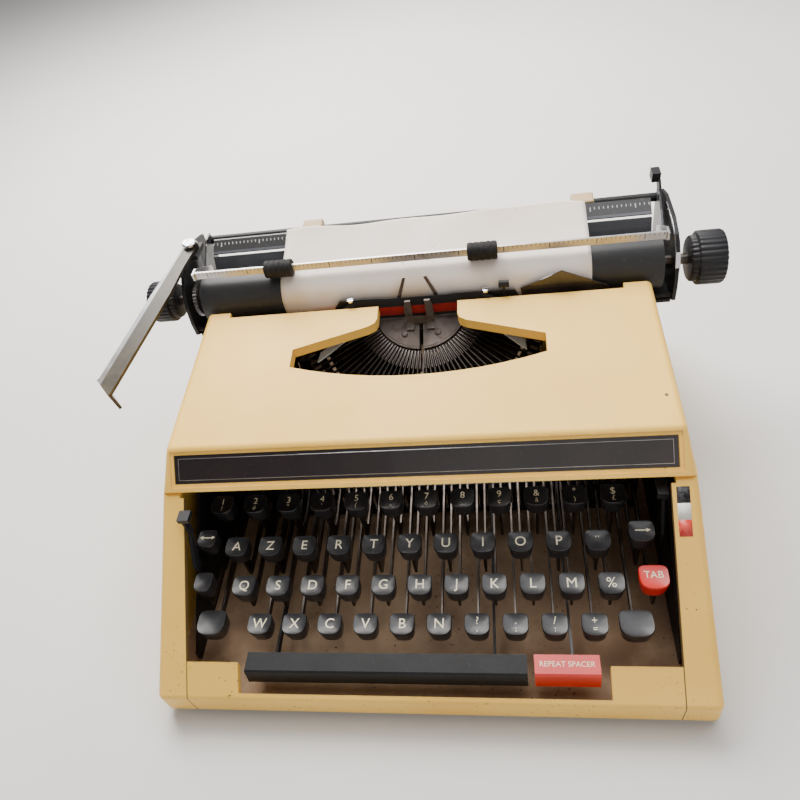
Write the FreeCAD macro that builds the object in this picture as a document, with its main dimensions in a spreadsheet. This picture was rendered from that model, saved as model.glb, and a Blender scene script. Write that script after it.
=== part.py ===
import FreeCAD, Part
import math
import os
import re
import Sketcher

# Portable typewriter.  Millimetres, +X to the typist's right, +Y to the back, +Z up.
# The origin is on the table, under the centre of the machine.

SIZES = {
    # casing
    "front_y": -137.0, "back_y": 137.0, "foot_height": 8.0, "foot_radius": 9.0,
    "foot_x": 112.0, "foot_front_y": -117.0, "foot_back_y": 119.0,
    "floor_thickness": 2.0, "floor_half_width": 137.6, "skirt_z": 5.0,
    "wall": 2.5, "body_top_z": 83.8, "front_edge_z": 20.3, "slope_top_y": -53.4,
    "body_low_half_width": 141.4, "body_high_half_width": 136.2,
    "well_half_width": 123.2, "well_front_y": -121.8,
    "notch_left_x": -95.0, "notch_right_x": 90.6, "lip_y": -134.2,
    "rear_panel_z": 78.0, "vent_pitch": 12.0, "vent_count": 15.0,
    # cover
    "cover_front_y": -52.6, "cover_front_z": 85.7, "ridge_y": -35.2, "ridge_z": 101.7,
    "cover_back_y": 57.6, "cover_end_back_y": 61.4, "cover_back_z": 109.8,
    "cover_low_half_width": 138.2, "cover_high_half_width": 130.0, "cover_round": 4.0,
    "cover_wall": 2.5, "cover_end_x": 115.5,
    "opening_half_width": 71.0, "opening_front_y": 5.0,
    "opening_corner_y": 28.5, "tongue_y": 43.0, "tongue_half_gap": 23.2,
    "opening_arc_radius": 240.0,
    "panel_half_width": 127.5, "panel_low": 4.4, "panel_high": 19.4, "panel_depth": 1.8,
    "panel_thickness": 0.8,
    # keys
    "key_pitch": 19.05, "cap_width": 12.6, "cap_depth": 11.4, "cap_height": 9.5,
    "lever_thickness": 1.2, "pivot_y": 47.0, "pivot_z": 34.0, "pivot_radius": 2.5,
    "running_gap": 0.05,
    "row_one_y": -47.0, "row_one_z": 64.7, "row_one_x": -110.4, "row_one_keys": 12.0,
    "row_one_lever_z": 29.0,
    "row_two_y": -67.5, "row_two_z": 54.4, "row_two_x": -100.7, "row_two_keys": 11.0,
    "row_two_lever_z": 26.0,
    "row_three_y": -85.8, "row_three_z": 44.85, "row_three_x": -95.7, "row_three_keys": 11.0,
    "row_three_lever_z": 24.0,
    "row_four_y": -103.0, "row_four_z": 36.0, "row_four_x": -86.1, "row_four_keys": 10.0,
    "row_four_lever_z": 22.2,
    "bar_front_y": -128.0, "bar_back_y": -116.2, "bar_top_z": 31.0, "bar_bottom_z": 21.5,
    "space_left_x": -91.0, "space_right_x": 51.8, "repeat_left_x": 55.2, "repeat_right_x": 86.0,
    "bar_arm_z": 20.0, "bar_arm_height": 3.5,
    # type basket
    "basket_y": 68.7, "basket_z": 98.9, "basket_tilt": 25.0, "segment_radius": 28.5,
    "segment_thickness": 9.0, "typebar_count": 43.0, "typebar_fan": 150.0,
    "typebar_length": 42.0, "typebar_height": 4.0, "typebar_thickness": 0.9,
    "slug_length": 5.0, "slug_width": 2.4, "slug_height": 7.0,
    "strike_y": 45.7, "strike_z": 72.5, "guide_y": 58.4,
    # ribbon
    "spool_x": 98.0, "spool_y": 24.0, "spool_radius": 24.0, "cup_radius": 26.5,
    "cup_z": 77.0, "cup_height": 12.0, "spool_height": 14.0, "spool_post_radius": 2.0,
    "ribbon_y": 60.2, "ribbon_z": 100.0, "ribbon_height": 12.7, "ribbon_thickness": 0.3,
    # carriage
    "platen_y": 79.5, "platen_z": 109.0, "platen_radius": 15.0, "platen_half_length": 134.0,
    "core_radius": 11.0, "shaft_radius": 3.0, "plate_x": 144.0, "plate_thickness": 2.0,
    "carriage_z": 88.6, "carriage_thickness": 1.8, "carriage_front_y": 67.0,
    "carriage_back_y": 123.0, "knob_end_x": 171.5, "left_knob_radius": 13.0,
    "right_knob_radius": 15.2, "rail_z": 84.2, "rail_height": 4.0, "rail_depth": 6.0,
    "rail_front_y": 70.0, "rail_back_y": 112.0, "rail_half_length": 127.0,
    "feed_radius": 3.2, "feed_offset_y": 12.2, "feed_offset_z": 14.7, "feed_shaft_radius": 1.4,
    "margin_rail_y": 118.0, "margin_rail_z": 125.8, "margin_rail_radius": 2.6,
    "stop_width": 13.0, "left_stop_x": -67.5, "right_stop_x": 98.5,
    "bail_y": 75.5, "bail_z": 129.7, "bail_pivot_y": 97.0, "bail_pivot_z": 116.0,
    "bail_roller_radius": 5.2, "bail_roller_length": 17.0,
    "left_roller_x": -81.5, "right_roller_x": 39.0,
    "lever_pivot_x": -142.0, "lever_pivot_y": 98.0, "lever_z": 134.6,
    "return_thickness": 2.0,
    "paper_left_x": -82.0, "paper_right_x": 99.0, "paper_gap": 0.3, "paper_thickness": 0.25,
    "paper_top_y": 112.4, "paper_top_z": 132.0, "paper_start": 238.0, "paper_middle": 160.0,
    "knob_round": 1.5, "stop_round": 1.2, "roller_round": 0.8, "lever_yaw": -11.3,
    "lever_droop": 5.2, "wheel_bore": 1.55, "ratchet_tip": 11.0, "escape_tip": 8.0,
    "escape_z": 76.2, "drum_x": -96.0, "drum_z": 52.0, "drum_radius": 17.0, "drum_width": 14.0,
}

doc = FreeCAD.newDocument("Typewriter")
sheet = doc.addObject("Spreadsheet::Sheet", "Sizes")
for line, (alias, amount) in enumerate(SIZES.items(), 1):
    sheet.set(f"A{line}", alias)
    sheet.set(f"B{line}", str(amount))
    sheet.setAlias(f"B{line}", alias)
doc.recompute()

nodes = []
V = FreeCAD.Vector


def size(alias):
    """A cell's number, for shapes that no feature makes."""
    return float(sheet.get(alias))


def formula(text):
    """Put the sheet's name before every alias in an expression."""
    return re.sub(r"[a-z_]+", lambda m: "Sizes." + m[0] if m[0] in SIZES else m[0], str(text))


def bind(item, prop, text):
    """Set a property from an expression of the sheet's cells."""
    item.setExpression(prop, formula(text))


def place(item, x=0, y=0, z=0):
    """Bind an object's position to the sheet."""
    for axis, text in zip("xyz", (x, y, z)):
        bind(item, f".Placement.Base.{axis}", text)


def node(name, item):
    """Name a finished sub-part."""
    item.Label = name
    nodes.append(item)
    return item


def body(plane, outline, depth, holes=(), middle=False, at=(0, 0, 0)):
    """A Body with one closed outline of bound corners, round holes, and a pad."""
    made = doc.addObject("PartDesign::Body", "Body")
    sketch = made.newObject("Sketcher::SketchObject", "Outline")
    support = [f for f in made.Origin.OriginFeatures if f.Role == plane + "_Plane"][0]
    sketch.AttachmentSupport = [(support, "")]
    sketch.MapMode = "FlatFace"
    count = len(outline)
    turn = [2 * math.pi * k / count for k in range(count)]
    ring = [V(50 * math.cos(a), 50 * math.sin(a), 0) for a in turn]
    for k in range(count):
        sketch.addGeometry(Part.LineSegment(ring[k], ring[(k + 1) % count]), False)
    for k in range(count):
        sketch.addConstraint(Sketcher.Constraint("Coincident", k, 2, (k + 1) % count, 1))
    for k, corner in enumerate(outline):
        for kind, text in zip(("DistanceX", "DistanceY"), corner):
            row = sketch.addConstraint(Sketcher.Constraint(kind, -1, 1, k, 1, 1.0))
            bind(sketch, f"Constraints[{row}]", text)
    for k, (u, v, radius) in enumerate(holes, count):
        sketch.addGeometry(Part.Circle(V(1, 1, 0), V(0, 0, 1), 1), False)
        for kind, text in (("DistanceX", u), ("DistanceY", v)):
            row = sketch.addConstraint(Sketcher.Constraint(kind, -1, 1, k, 3, 1.0))
            bind(sketch, f"Constraints[{row}]", text)
        row = sketch.addConstraint(Sketcher.Constraint("Radius", k, 1.0))
        bind(sketch, f"Constraints[{row}]", radius)
    pad = made.newObject("PartDesign::Pad", "Pad")
    pad.Profile = sketch
    bind(pad, "Length", depth)
    pad.Midplane = middle
    place(made, *at)
    return made


def pattern(made, axis, spacing, count):
    """Repeat a Body's pad along one of its axes."""
    row = made.newObject("PartDesign::LinearPattern", "Row")
    row.Originals = [made.Tip]
    row.Direction = ([f for f in made.Origin.OriginFeatures if f.Role == axis][0], [""])
    row.Mode = "Spacing"
    bind(row, "Offset", spacing)
    bind(row, "Occurrences", count)
    made.Tip = row
    return made


def rect(u_low, v_low, u_high, v_high):
    """The corners of an upright rectangle."""
    return [(u_low, v_low), (u_high, v_low), (u_high, v_high), (u_low, v_high)]


def box(x_low, y_low, z_low, x_high, y_high, z_high):
    """A block between two bound corners."""
    made = doc.addObject("Part::Box", "Block")
    for prop, low, high in (("Length", x_low, x_high), ("Width", y_low, y_high),
                            ("Height", z_low, z_high)):
        bind(made, prop, f"({high}) - ({low})")
    place(made, x_low, y_low, z_low)
    return made


def rod(radius, length, axis, x, y, z, angle=0):
    """A cylinder from a bound end point along X, Y or Z."""
    made = doc.addObject("Part::Cylinder", "Rod")
    bind(made, "Radius", radius)
    bind(made, "Height", length)
    turned = {"X": (V(0, 1, 0), 90), "Y": (V(1, 0, 0), -90), "Z": (V(1, 0, 0), angle)}[axis]
    made.Placement = FreeCAD.Placement(V(), FreeCAD.Rotation(*turned))
    place(made, x, y, z)
    return made


def cut(base, *tools):
    """Take tools away from a base, one after another."""
    for tool in tools:
        made = doc.addObject("Part::Cut", "Cut")
        made.Base, made.Tool = base, tool
        base = made
    return base


def fuse(*items):
    """Join solids that touch into one piece."""
    made = doc.addObject("Part::MultiFuse", "Fuse")
    made.Shapes = list(items)
    made.Refine = True
    return made


def common(first, second):
    """Keep what two solids share."""
    made = doc.addObject("Part::MultiCommon", "Common")
    made.Shapes = [first, second]
    return made


def group(*items):
    """Separate solids of one node."""
    made = doc.addObject("Part::Compound", "Group")
    made.Links = list(items)
    return made


def rounded(item, radius, wanted):
    """Round the edges for which wanted(edge) is true."""
    doc.recompute()
    made = doc.addObject("Part::Fillet", "Round")
    made.Base = item
    chosen = [k for k, edge in enumerate(item.Shape.Edges, 1) if wanted(edge)]
    made.Edges = [(k, size(radius), size(radius)) for k in chosen]
    return made


def casing():
    """Feet, floor tray, lower housing and the slotted rear panel."""
    feet = [rod("foot_radius", "foot_height", "Z", x, y, 0)
            for x in ("foot_x", "-foot_x") for y in ("foot_front_y", "foot_back_y")]
    node("rubber_feet", group(*feet))

    inside = "(wall + 0.5)"
    node("base_plate", box("-floor_half_width", f"front_y + {inside}", "foot_height",
                           "floor_half_width", f"back_y - {inside}",
                           "foot_height + floor_thickness"))

    def housing(inset):
        side = [(f"front_y + {inset}", "skirt_z"), (f"front_y + {inset}", f"front_edge_z - {inset}"),
                (f"slope_top_y - {inset} * 0.25", f"body_top_z - {inset}"),
                (f"back_y - {inset}", f"body_top_z - {inset}"), (f"back_y - {inset}", "skirt_z")]
        if inset == "wall":
            side[0] = (side[0][0], "skirt_z - 1")
            side[4] = (side[4][0], "skirt_z - 1")
        profile = body("YZ", side, "300", middle=True)
        low, high = f"body_low_half_width - {inset}", f"body_high_half_width - {inset}"
        ends = body("XZ", [(f"-({low})", "skirt_z - 1"), (low, "skirt_z - 1"),
                           (high, "body_top_z"), (f"-({high})", "body_top_z")],
                    "300", middle=True)
        return common(profile, ends)

    outer = rounded(housing("0"), "cover_round", lambda e: on_front_or_sides(e))
    shell = cut(outer, housing("wall"),
                box("-well_half_width", "well_front_y", "foot_height", "well_half_width",
                    "slope_top_y", "body_top_z + 1"),
                box("notch_left_x", "lip_y", "foot_height + 4", "notch_right_x",
                    "well_front_y + 1", "body_top_z"),
                box("-125.6", "slope_top_y - 1", "body_top_z - wall - 1",
                    "125.6", "back_y - wall", "body_top_z + 1"),
                box("-120", "back_y - wall - 1", "foot_height + 6", "120", "back_y + 1",
                    "rear_panel_z - 4"),
                box("-body_low_half_width", "slope_top_y + 115", "body_top_z - wall - 1",
                    "body_low_half_width", "back_y - wall", "body_top_z + 1"))
    node("lower_body", shell)

    slots = pattern(body("XZ", rect("-2.5", "34", "2.5", "62"), "12", middle=True,
                         at=("-vent_pitch * (vent_count - 1) / 2", "back_y - wall - 1", 0)),
                    "X_Axis", "vent_pitch", "vent_count")
    panel = box("-126", "back_y - wall - 1.6", "foot_height + 2.2", "126", "back_y - wall",
                "rear_panel_z")
    node("rear_panel", cut(panel, slots))


def on_front_or_sides(edge):
    """The front corners, the front top edge and the sloping side edges of the housing."""
    span = edge.BoundBox
    if span.ZMax < size("front_edge_z") - 1:
        return False
    at_front = span.YMax < size("front_y") + 1 and span.ZMax > size("skirt_z") + 5
    at_side = span.XMin > 120 or span.XMax < -120
    sloping = at_side and span.ZLength > 40 and span.YLength > 60
    return at_front or sloping


def frame():
    """Side frames, rails, the shaft that the keys turn on, and their comb."""
    outline = [("-112", "10"), ("-112", "16"), ("-30", "72"), ("62", "72"), ("62", "rail_z"),
               ("122", "rail_z"), ("122", "10")]
    sides = [body("YZ", outline, "1.6", holes=[("pivot_y", "pivot_z", "pivot_radius")],
                  at=(x, 0, 0)) for x in ("-127.2", "125.6")]
    node("key_pivot_shaft", rod("pivot_radius", "2 * 127.2", "X", "-127.2", "pivot_y", "pivot_z"))

    comb = box("-118", "-21", "foot_height + floor_thickness", "118", "-19", "39")
    slots = [pattern(body("XZ", rect("-1.1", "15", "1.1", "45"), "10", middle=True,
                          at=(first, "-20", 0)), "X_Axis", "key_pitch", "12")
             for first in ("row_one_x", "row_two_x", "row_three_x", "row_four_x")]
    slots += [box(f"{x} - 1.3", "-25", "13", f"{x} + 1.3", "-15", "45")
              for x in ("-116.3", "-112.4", "110", "115.5", "104.6", "-78.25", "36.05", "73.9")]
    node("key_lever_comb", cut(comb, *slots))

    rails = [box("-rail_half_length", y, "rail_z", "rail_half_length", f"{y} + rail_depth",
                 "rail_z + rail_height") for y in ("rail_front_y", "rail_back_y")]
    node("side_frames_and_rails", group(*sides, *rails))


def lever_outline(key_y, top_z, level_z, reach="3"):
    """Side view of a key lever: boss, long arm, upright stem under the cap."""
    top = f"{top_z} - cap_height"
    return [("pivot_y + 6", "pivot_z - 5"), ("pivot_y + 6", "pivot_z + 5"),
            ("pivot_y - 7", "pivot_z + 5"), (f"{key_y} + {reach} + 6", f"{level_z} + 4"),
            (f"{key_y} + {reach}", f"{level_z} + 4"), (f"{key_y} + {reach}", top),
            (f"{key_y} - {reach}", top), (f"{key_y} - {reach}", level_z),
            (f"{key_y} + {reach} + 6", level_z), ("pivot_y - 7", "pivot_z - 5")]


def cap_outline(width, depth):
    """Plan of a key cap: flat at the back and rounded towards the typist."""
    w, d = f"({width}) / 2", f"({depth}) / 2"
    return [(f"-{w}", f"{d} * 0.8"), (f"-{w} * 0.82", d), (f"{w} * 0.82", d), (w, f"{d} * 0.8"),
            (w, f"-{d} * 0.15"), (f"{w} * 0.84", f"-{d} * 0.7"), (f"{w} * 0.4", f"-{d}"),
            (f"-{w} * 0.4", f"-{d}"), (f"-{w} * 0.84", f"-{d} * 0.7"), (f"-{w}", f"-{d} * 0.15")]


def bore():
    """The running hole of a lever on the pivot shaft."""
    return [("pivot_y", "pivot_z", "pivot_radius + running_gap")]


def keys():
    """Four rows of caps and levers, the keys beside them and the two bars."""
    thick = "lever_thickness"
    for name in ("one", "two", "three", "four"):
        row = f"row_{name}"
        cap = body("XY", cap_outline("cap_width", "cap_depth"), "cap_height",
                   at=(f"{row}_x", f"{row}_y", f"{row}_z - cap_height"))
        caps = pattern(cap, "X_Axis", "key_pitch", f"{row}_keys")
        arm = body("YZ", lever_outline(f"{row}_y", f"{row}_z", f"{row}_lever_z"), thick,
                   holes=bore(), middle=True, at=(f"{row}_x", 0, 0))
        levers = pattern(arm, "X_Axis", "key_pitch", f"{row}_keys")
        node(f"key_row_{name}", group(caps, levers))

    side_keys = {
        # name: x, y, top z, width, depth, height, lever x, lever level
        "margin_release_key": ("-115.6", "-66", "61", "10.4", "10.5", "9.5", "-116.3", "28"),
        "shift_lock_key": ("-116.8", "-86", "50", "10", "11", "9.5", "-119.5", "25"),
        "left_shift_key": ("-112", "-103.4", "38.5", "15.4", "13.5", "9.5", "-112.4", "24.5"),
        "backspace_key": ("110.4", "-66", "60", "12.6", "11.4", "9.5", "110", "28"),
        "tab_key": ("114", "-86", "51", "14", "12.5", "9.5", "115.5", "25"),
        "right_shift_key": ("104.6", "-103.5", "38.2", "16.4", "13.5", "9.5", "104.6", "24.5"),
    }
    for name, (x, y, top, width, deep, tall, lever_x, level) in side_keys.items():
        cap = body("XY", cap_outline(width, deep), tall, at=(x, y, f"{top} - {tall}"))
        arm = body("YZ", lever_outline(y, top, level), thick, holes=bore(), middle=True,
                   at=(lever_x, 0, 0))
        node(name, group(cap, arm))

    arm_top = "bar_arm_z + bar_arm_height"
    arm_side = [("pivot_y + 6", "pivot_z - 5"), ("pivot_y + 6", "pivot_z + 5"),
                ("pivot_y - 7", "pivot_z + 5"), ("-50", arm_top), ("bar_back_y - 2", arm_top),
                ("bar_back_y - 2", "bar_bottom_z"), ("bar_back_y - 6", "bar_bottom_z"),
                ("bar_back_y - 6", "bar_arm_z - 1"), ("-50", "bar_arm_z"),
                ("pivot_y - 7", "pivot_z - 5")]
    bars = {"space_bar": ("space_left_x", "space_right_x", ("-78.25", "36.05")),
            "repeat_spacer_key": ("repeat_left_x", "repeat_right_x", ("73.9",))}
    for name, (left, right, arms) in bars.items():
        side = [("bar_front_y", "bar_bottom_z"), ("bar_front_y + 1.6", "bar_top_z - 0.8"),
                ("bar_front_y + 2.6", "bar_top_z"), ("bar_back_y", "bar_top_z"),
                ("bar_back_y", "bar_bottom_z")]
        top = body("YZ", side, f"{right} - ({left})", at=(left, 0, 0))
        levers = [body("YZ", arm_side, thick, holes=bore(), middle=True, at=(x, 0, 0))
                  for x in arms]
        levers = [cut(lever, box(-200, "-140", "bar_bottom_z", 200, "bar_back_y + 0.5", "60"))
                  for lever in levers]
        node(name, group(top, *levers))


def basket_body(outline, depth, low, holes=()):
    """A flat piece lying in the tilted plane of the type basket."""
    made = body("XY", outline, depth, holes=holes)
    made.Placement = FreeCAD.Placement(V(), FreeCAD.Rotation(V(1, 0, 0), size("basket_tilt")))
    tilt = f"({low})"
    place(made, 0, f"basket_y - {tilt} * sin(basket_tilt * 1 deg)",
          f"basket_z + {tilt} * cos(basket_tilt * 1 deg)")
    return made


def fan(radius, first, last, count):
    """Corners on an arc about the basket's centre, from first to last degree off straight ahead."""
    turns = [math.radians(first + (last - first) * k / (count - 1)) for k in range(count)]
    return [(f"({radius}) * {math.sin(a):.6f}", f"-({radius}) * {math.cos(a):.6f}") for a in turns]


def in_basket(shape, turn):
    """Turn a shape drawn straight ahead to its place in the tilted fan."""
    made = shape.copy()
    made.rotate(V(), V(0, 0, 1), turn)
    made.rotate(V(), V(1, 0, 0), size("basket_tilt"))
    made.translate(V(0, size("basket_y"), size("basket_z")))
    return made


def typebasket():
    """Segment with its two screws, the typebars at rest, the striking bar and the type guide."""
    sector = fan("segment_radius", -69, 69, 24)
    segment = basket_body(sector, "segment_thickness", "-segment_thickness")
    slot = box("-0.9", "20", "60", "0.9", "66", "120")
    web = box("-12", "58.2", "79", "12", "62", "88")
    block = fuse(cut(segment, slot), web)

    screws = [in_basket(Part.makeCylinder(1.9, 1.2, V(x, -18.0, 0), V(0, 0, 1)), 0)
              for x in (-10.0, 10.0)]
    made = doc.addObject("Part::Feature", "Screws")
    made.Shape = Part.makeCompound(screws)

    pin = rod("1", "8", "X", "-4", "strike_y", "strike_z")
    ears = [box(x, "strike_y - 3", "strike_z - 3", f"{x} + 2", "strike_y + 3", "strike_z + 4")
            for x in ("-4", "2")]
    bar = box("-125.5", "58.2", "76", "125.5", "66", "82")
    node("type_segment", group(fuse(block, bar), made, fuse(pin, *ears)))

    inner = size("segment_radius") + 0.2
    outer = inner + size("typebar_length")
    thick, tall = size("typebar_thickness"), size("typebar_height")
    arm = Part.makeBox(thick, outer - inner, tall, V(-thick / 2, -outer, -tall))
    slug = Part.makeBox(size("slug_width"), size("slug_length"), size("slug_height"),
                        V(-size("slug_width") / 2, -outer - size("slug_length"), -size("slug_height")))
    one = arm.fuse(slug)
    count = int(size("typebar_count"))
    step = size("typebar_fan") / (count - 1)
    turns = [(k - (count - 1) / 2) * step for k in range(count)]
    bars = [in_basket(one, turn) for turn in turns if abs(turn) > step / 2]
    made = doc.addObject("Part::Feature", "Typebars")
    made.Shape = Part.makeCompound(bars)
    node("typebars", made)

    # the bar that strikes swings in the middle plane about its own pin below the segment
    front_y, front_z = "basket_y - 75.7 * 0.9063", "basket_z - 75.7 * 0.4226"
    heel = [("strike_y + 2.5", "strike_z - 2.5"), ("strike_y + 2.5", "strike_z + 6"),
            ("strike_y - 6", "strike_z + 7"), (f"{front_y} + 5", f"{front_z} + 2"),
            (front_y, front_z), (front_y, f"{front_z} - 6.5"), (f"{front_y} + 4.5", f"{front_z} - 6"),
            (f"{front_y} + 5", f"{front_z} - 2"), ("strike_y - 6", "strike_z - 2.5")]
    node("striking_typebar", body("YZ", heel, "typebar_thickness", middle=True,
                                  holes=[("strike_y", "strike_z", "1.05")]))
    pad = fan("74", -74, 74, 31) + fan("66", 74, -74, 31)
    rest = basket_body(pad, "2", "-9.4")
    arms = [box(x, "45.5", "76.5", f"{x} + 5", "58.2", "80.4") for x in ("62", "-67")]
    rest = cut(rest, box("-2.2", "-60", "40", "2.2", "20", "120"))
    node("type_rest_pad", fuse(rest, *arms))

    prongs = [("-8.4", "94.6"), ("8.4", "94.6"), ("8.4", "108"), ("7.4", "112"), ("4.1", "112"),
              ("4.1", "100"), ("-4.1", "100"), ("-4.1", "112"), ("-7.4", "112"), ("-8.4", "108")]
    guide = body("XZ", prongs, "1.2", at=(0, "guide_y", 0))
    feet = [basket_body(rect(f"{x} - 2.2", "-16", f"{x} + 2.2", "-10.6"), "1.4", "0.05")
            for x in ("-6.2", "6.2")]
    node("type_guide", fuse(guide, *feet))


def ribbon_parts():
    """Spools, their cups, the ribbon, its lift fork and the card fingers."""
    cups = []
    for name, sign in (("left", "-"), ("right", "")):
        x = f"{sign}spool_x"
        cup = cut(rod("cup_radius", "cup_height", "Z", x, "spool_y", "cup_z"),
                  rod("cup_radius - 1", "cup_height", "Z", x, "spool_y", "cup_z + 1"))
        post = rod("spool_post_radius", "cup_height + 2", "Z", x, "spool_y", "cup_z")
        edge = ("-127.2", "-118") if sign else ("118", "127.2")
        stand = box(edge[0], "spool_y - 8", "72", edge[1], "spool_y + 8", "cup_z + 1")
        cups.append(fuse(cup, post, stand))
        low = rod("spool_radius", "1", "Z", x, "spool_y", "cup_z + 1.4")
        hub = rod("9", "spool_height", "Z", x, "spool_y", "cup_z + 1.4")
        wound = rod("18", "spool_height - 2", "Z", x, "spool_y", "cup_z + 2.4")
        high = rod("spool_radius", "1", "Z", x, "spool_y", "cup_z + 0.4 + spool_height")
        hole = rod("spool_post_radius + running_gap", "40", "Z", x, "spool_y", "cup_z - 5")
        node(f"ribbon_spool_{name}", cut(fuse(low, hub, wound, high), hole))

    node("spool_cups", group(*cups))

    span = box("-37.8", "ribbon_y", "ribbon_z", "37.8", "ribbon_y + ribbon_thickness",
               "ribbon_z + ribbon_height")
    node("ribbon", span)

    fork = [body("XZ", [(f"{s}14", "106"), (f"{s}11.6", "106"), (f"{s}5", "125.6"), (f"{s}6.8", "125.6")],
                 "1", at=(0, "63.2", 0)) for s in ("-", "")]
    bridge = box("-14", "62.2", "94.5", "14", "63.2", "106")
    window = box("-11", "60", "98.5", "11", "66", "106")
    node("ribbon_vibrator", cut(fuse(bridge, *fork), window))


def star(teeth, tip, root, width, hole, axis, x, y, z):
    """A toothed wheel about a row axis, made from its sizes in the sheet."""
    points = []
    for k in range(2 * teeth):
        turn = math.pi * k / teeth
        radius = tip if k % 2 == 0 else root
        points.append(V(radius * math.cos(turn), radius * math.sin(turn), -width / 2))
    wheel = Part.Face(Part.makePolygon(points + points[:1])).extrude(V(0, 0, width))
    wheel = wheel.cut(Part.makeCylinder(size(hole), 2 * width, V(0, 0, -width)))
    wheel = wheel.rotate(V(), V(0, 1, 0) if axis == "X" else V(1, 0, 0), 90)
    made = doc.addObject("Part::Feature", "Wheel")
    made.Shape = wheel
    place(made, x, y, z)
    return made


def inside_works():
    """Ribbon controls, escapement, mainspring drum, bell and the card guides."""
    tab = [("-79", "47"), ("-79", "53"), ("-67", "69"), ("-67", "78.6"), ("-63", "78.6"),
           ("-63", "69"), ("-73", "53"), ("-73", "47")]
    node("touch_control_lever", group(body("YZ", tab, "1.4", at=("-123.1", 0, 0)),
                                      box("-124.4", "-67.4", "78.6", "-118.2", "-61.2", "81.6")))
    tab = [("-64", "46"), ("-64", "52"), ("-55", "68"), ("-55", "74"), ("-49", "74"), ("-49", "68"),
           ("-54", "52"), ("-54", "46")]
    node("ribbon_colour_lever", group(body("YZ", tab, "1.4", at=("120.8", 0, 0)),
                                      box("117.6", "-57", "74", "122.6", "-48", "78")))
    node("escapement_wheel", star(20, size("escape_tip"), size("escape_tip") - 1.3, 3.0,
                                  "wheel_bore", "Y", "12", "100", "escape_z"))
    hanger = fuse(box("4", "104", "foot_height + floor_thickness", "20", "106", "82"),
                  rod("wheel_bore - running_gap", "8", "Y", "12", "98", "escape_z"))
    drum = cut(rod("drum_radius", "drum_width", "Y", "drum_x", "92", "drum_z"),
               rod("2.05", "drum_width + 2", "Y", "drum_x", "91", "drum_z"))
    node("mainspring_drum", drum)
    arbor = fuse(rod("2", "drum_width + 6", "Y", "drum_x", "91", "drum_z"),
                 box("drum_x - 9", "92.5 + drum_width", "foot_height + floor_thickness",
                     "drum_x + 9", "94.5 + drum_width", "drum_z + 6"))
    bell = doc.addObject("Part::Sphere", "Gong")
    bell.Radius = 17
    place(bell, "84", "96", "30")
    hollow = doc.addObject("Part::Sphere", "Hollow")
    hollow.Radius = 15.6
    place(hollow, "84", "96", "30")
    dome = cut(bell, hollow, box("60", "70", "0", "110", "120", "33"),
               rod("1.6", "60", "Z", "84", "96", "0"))
    node("bell", dome)
    stem = fuse(rod("1.6", "38.6", "Z", "84", "96", "foot_height + floor_thickness"),
                rod("3.4", "2", "Z", "84", "96", "48.6"))
    node("works_brackets", group(hanger, arbor, stem))

    left = body("XZ", [("-50", "82"), ("-45", "82"), ("-41", "97.4"), ("-9", "97.4"), ("-9", "111.6"),
                       ("-24", "112.8"), ("-46", "113.3"), ("-50", "108")],
                "0.8", at=(0, "61.6", 0))
    right = body("XZ", [("9", "97.4"), ("41", "97.4"), ("45", "82"), ("110", "82"), ("110", "100"),
                        ("60", "103"), ("56", "112"), ("22", "112.8"), ("9", "111.6")],
                 "0.8", at=(0, "61.6", 0))
    pane = body("XZ", [("60.5", "103.2"), ("109", "100.2"), ("107.6", "109"), ("82", "121.6"),
                       ("59.2", "111.4")], "0.8", at=(0, "62.5", 0))
    node("card_guide_clear", pane)
    roller = fuse(rod("2", "6", "X", "47", "61", "116.5"),
                  box("49.4", "60.6", "108", "50.6", "62.2", "115.5"))
    posts = [fuse(rod("1.2", "16", "Z", x, "60.2", "97.4"), rod("1.7", "1.2", "Z", x, "60.2", "113.4"),
                  box(f"{x} - 1.2", "60.2", "97.4", f"{x} + 1.2", "61.6", "98.6"))
             for x in ("-39.5", "39.5")]
    node("card_guides", group(left, right, roller, *posts))


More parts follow.
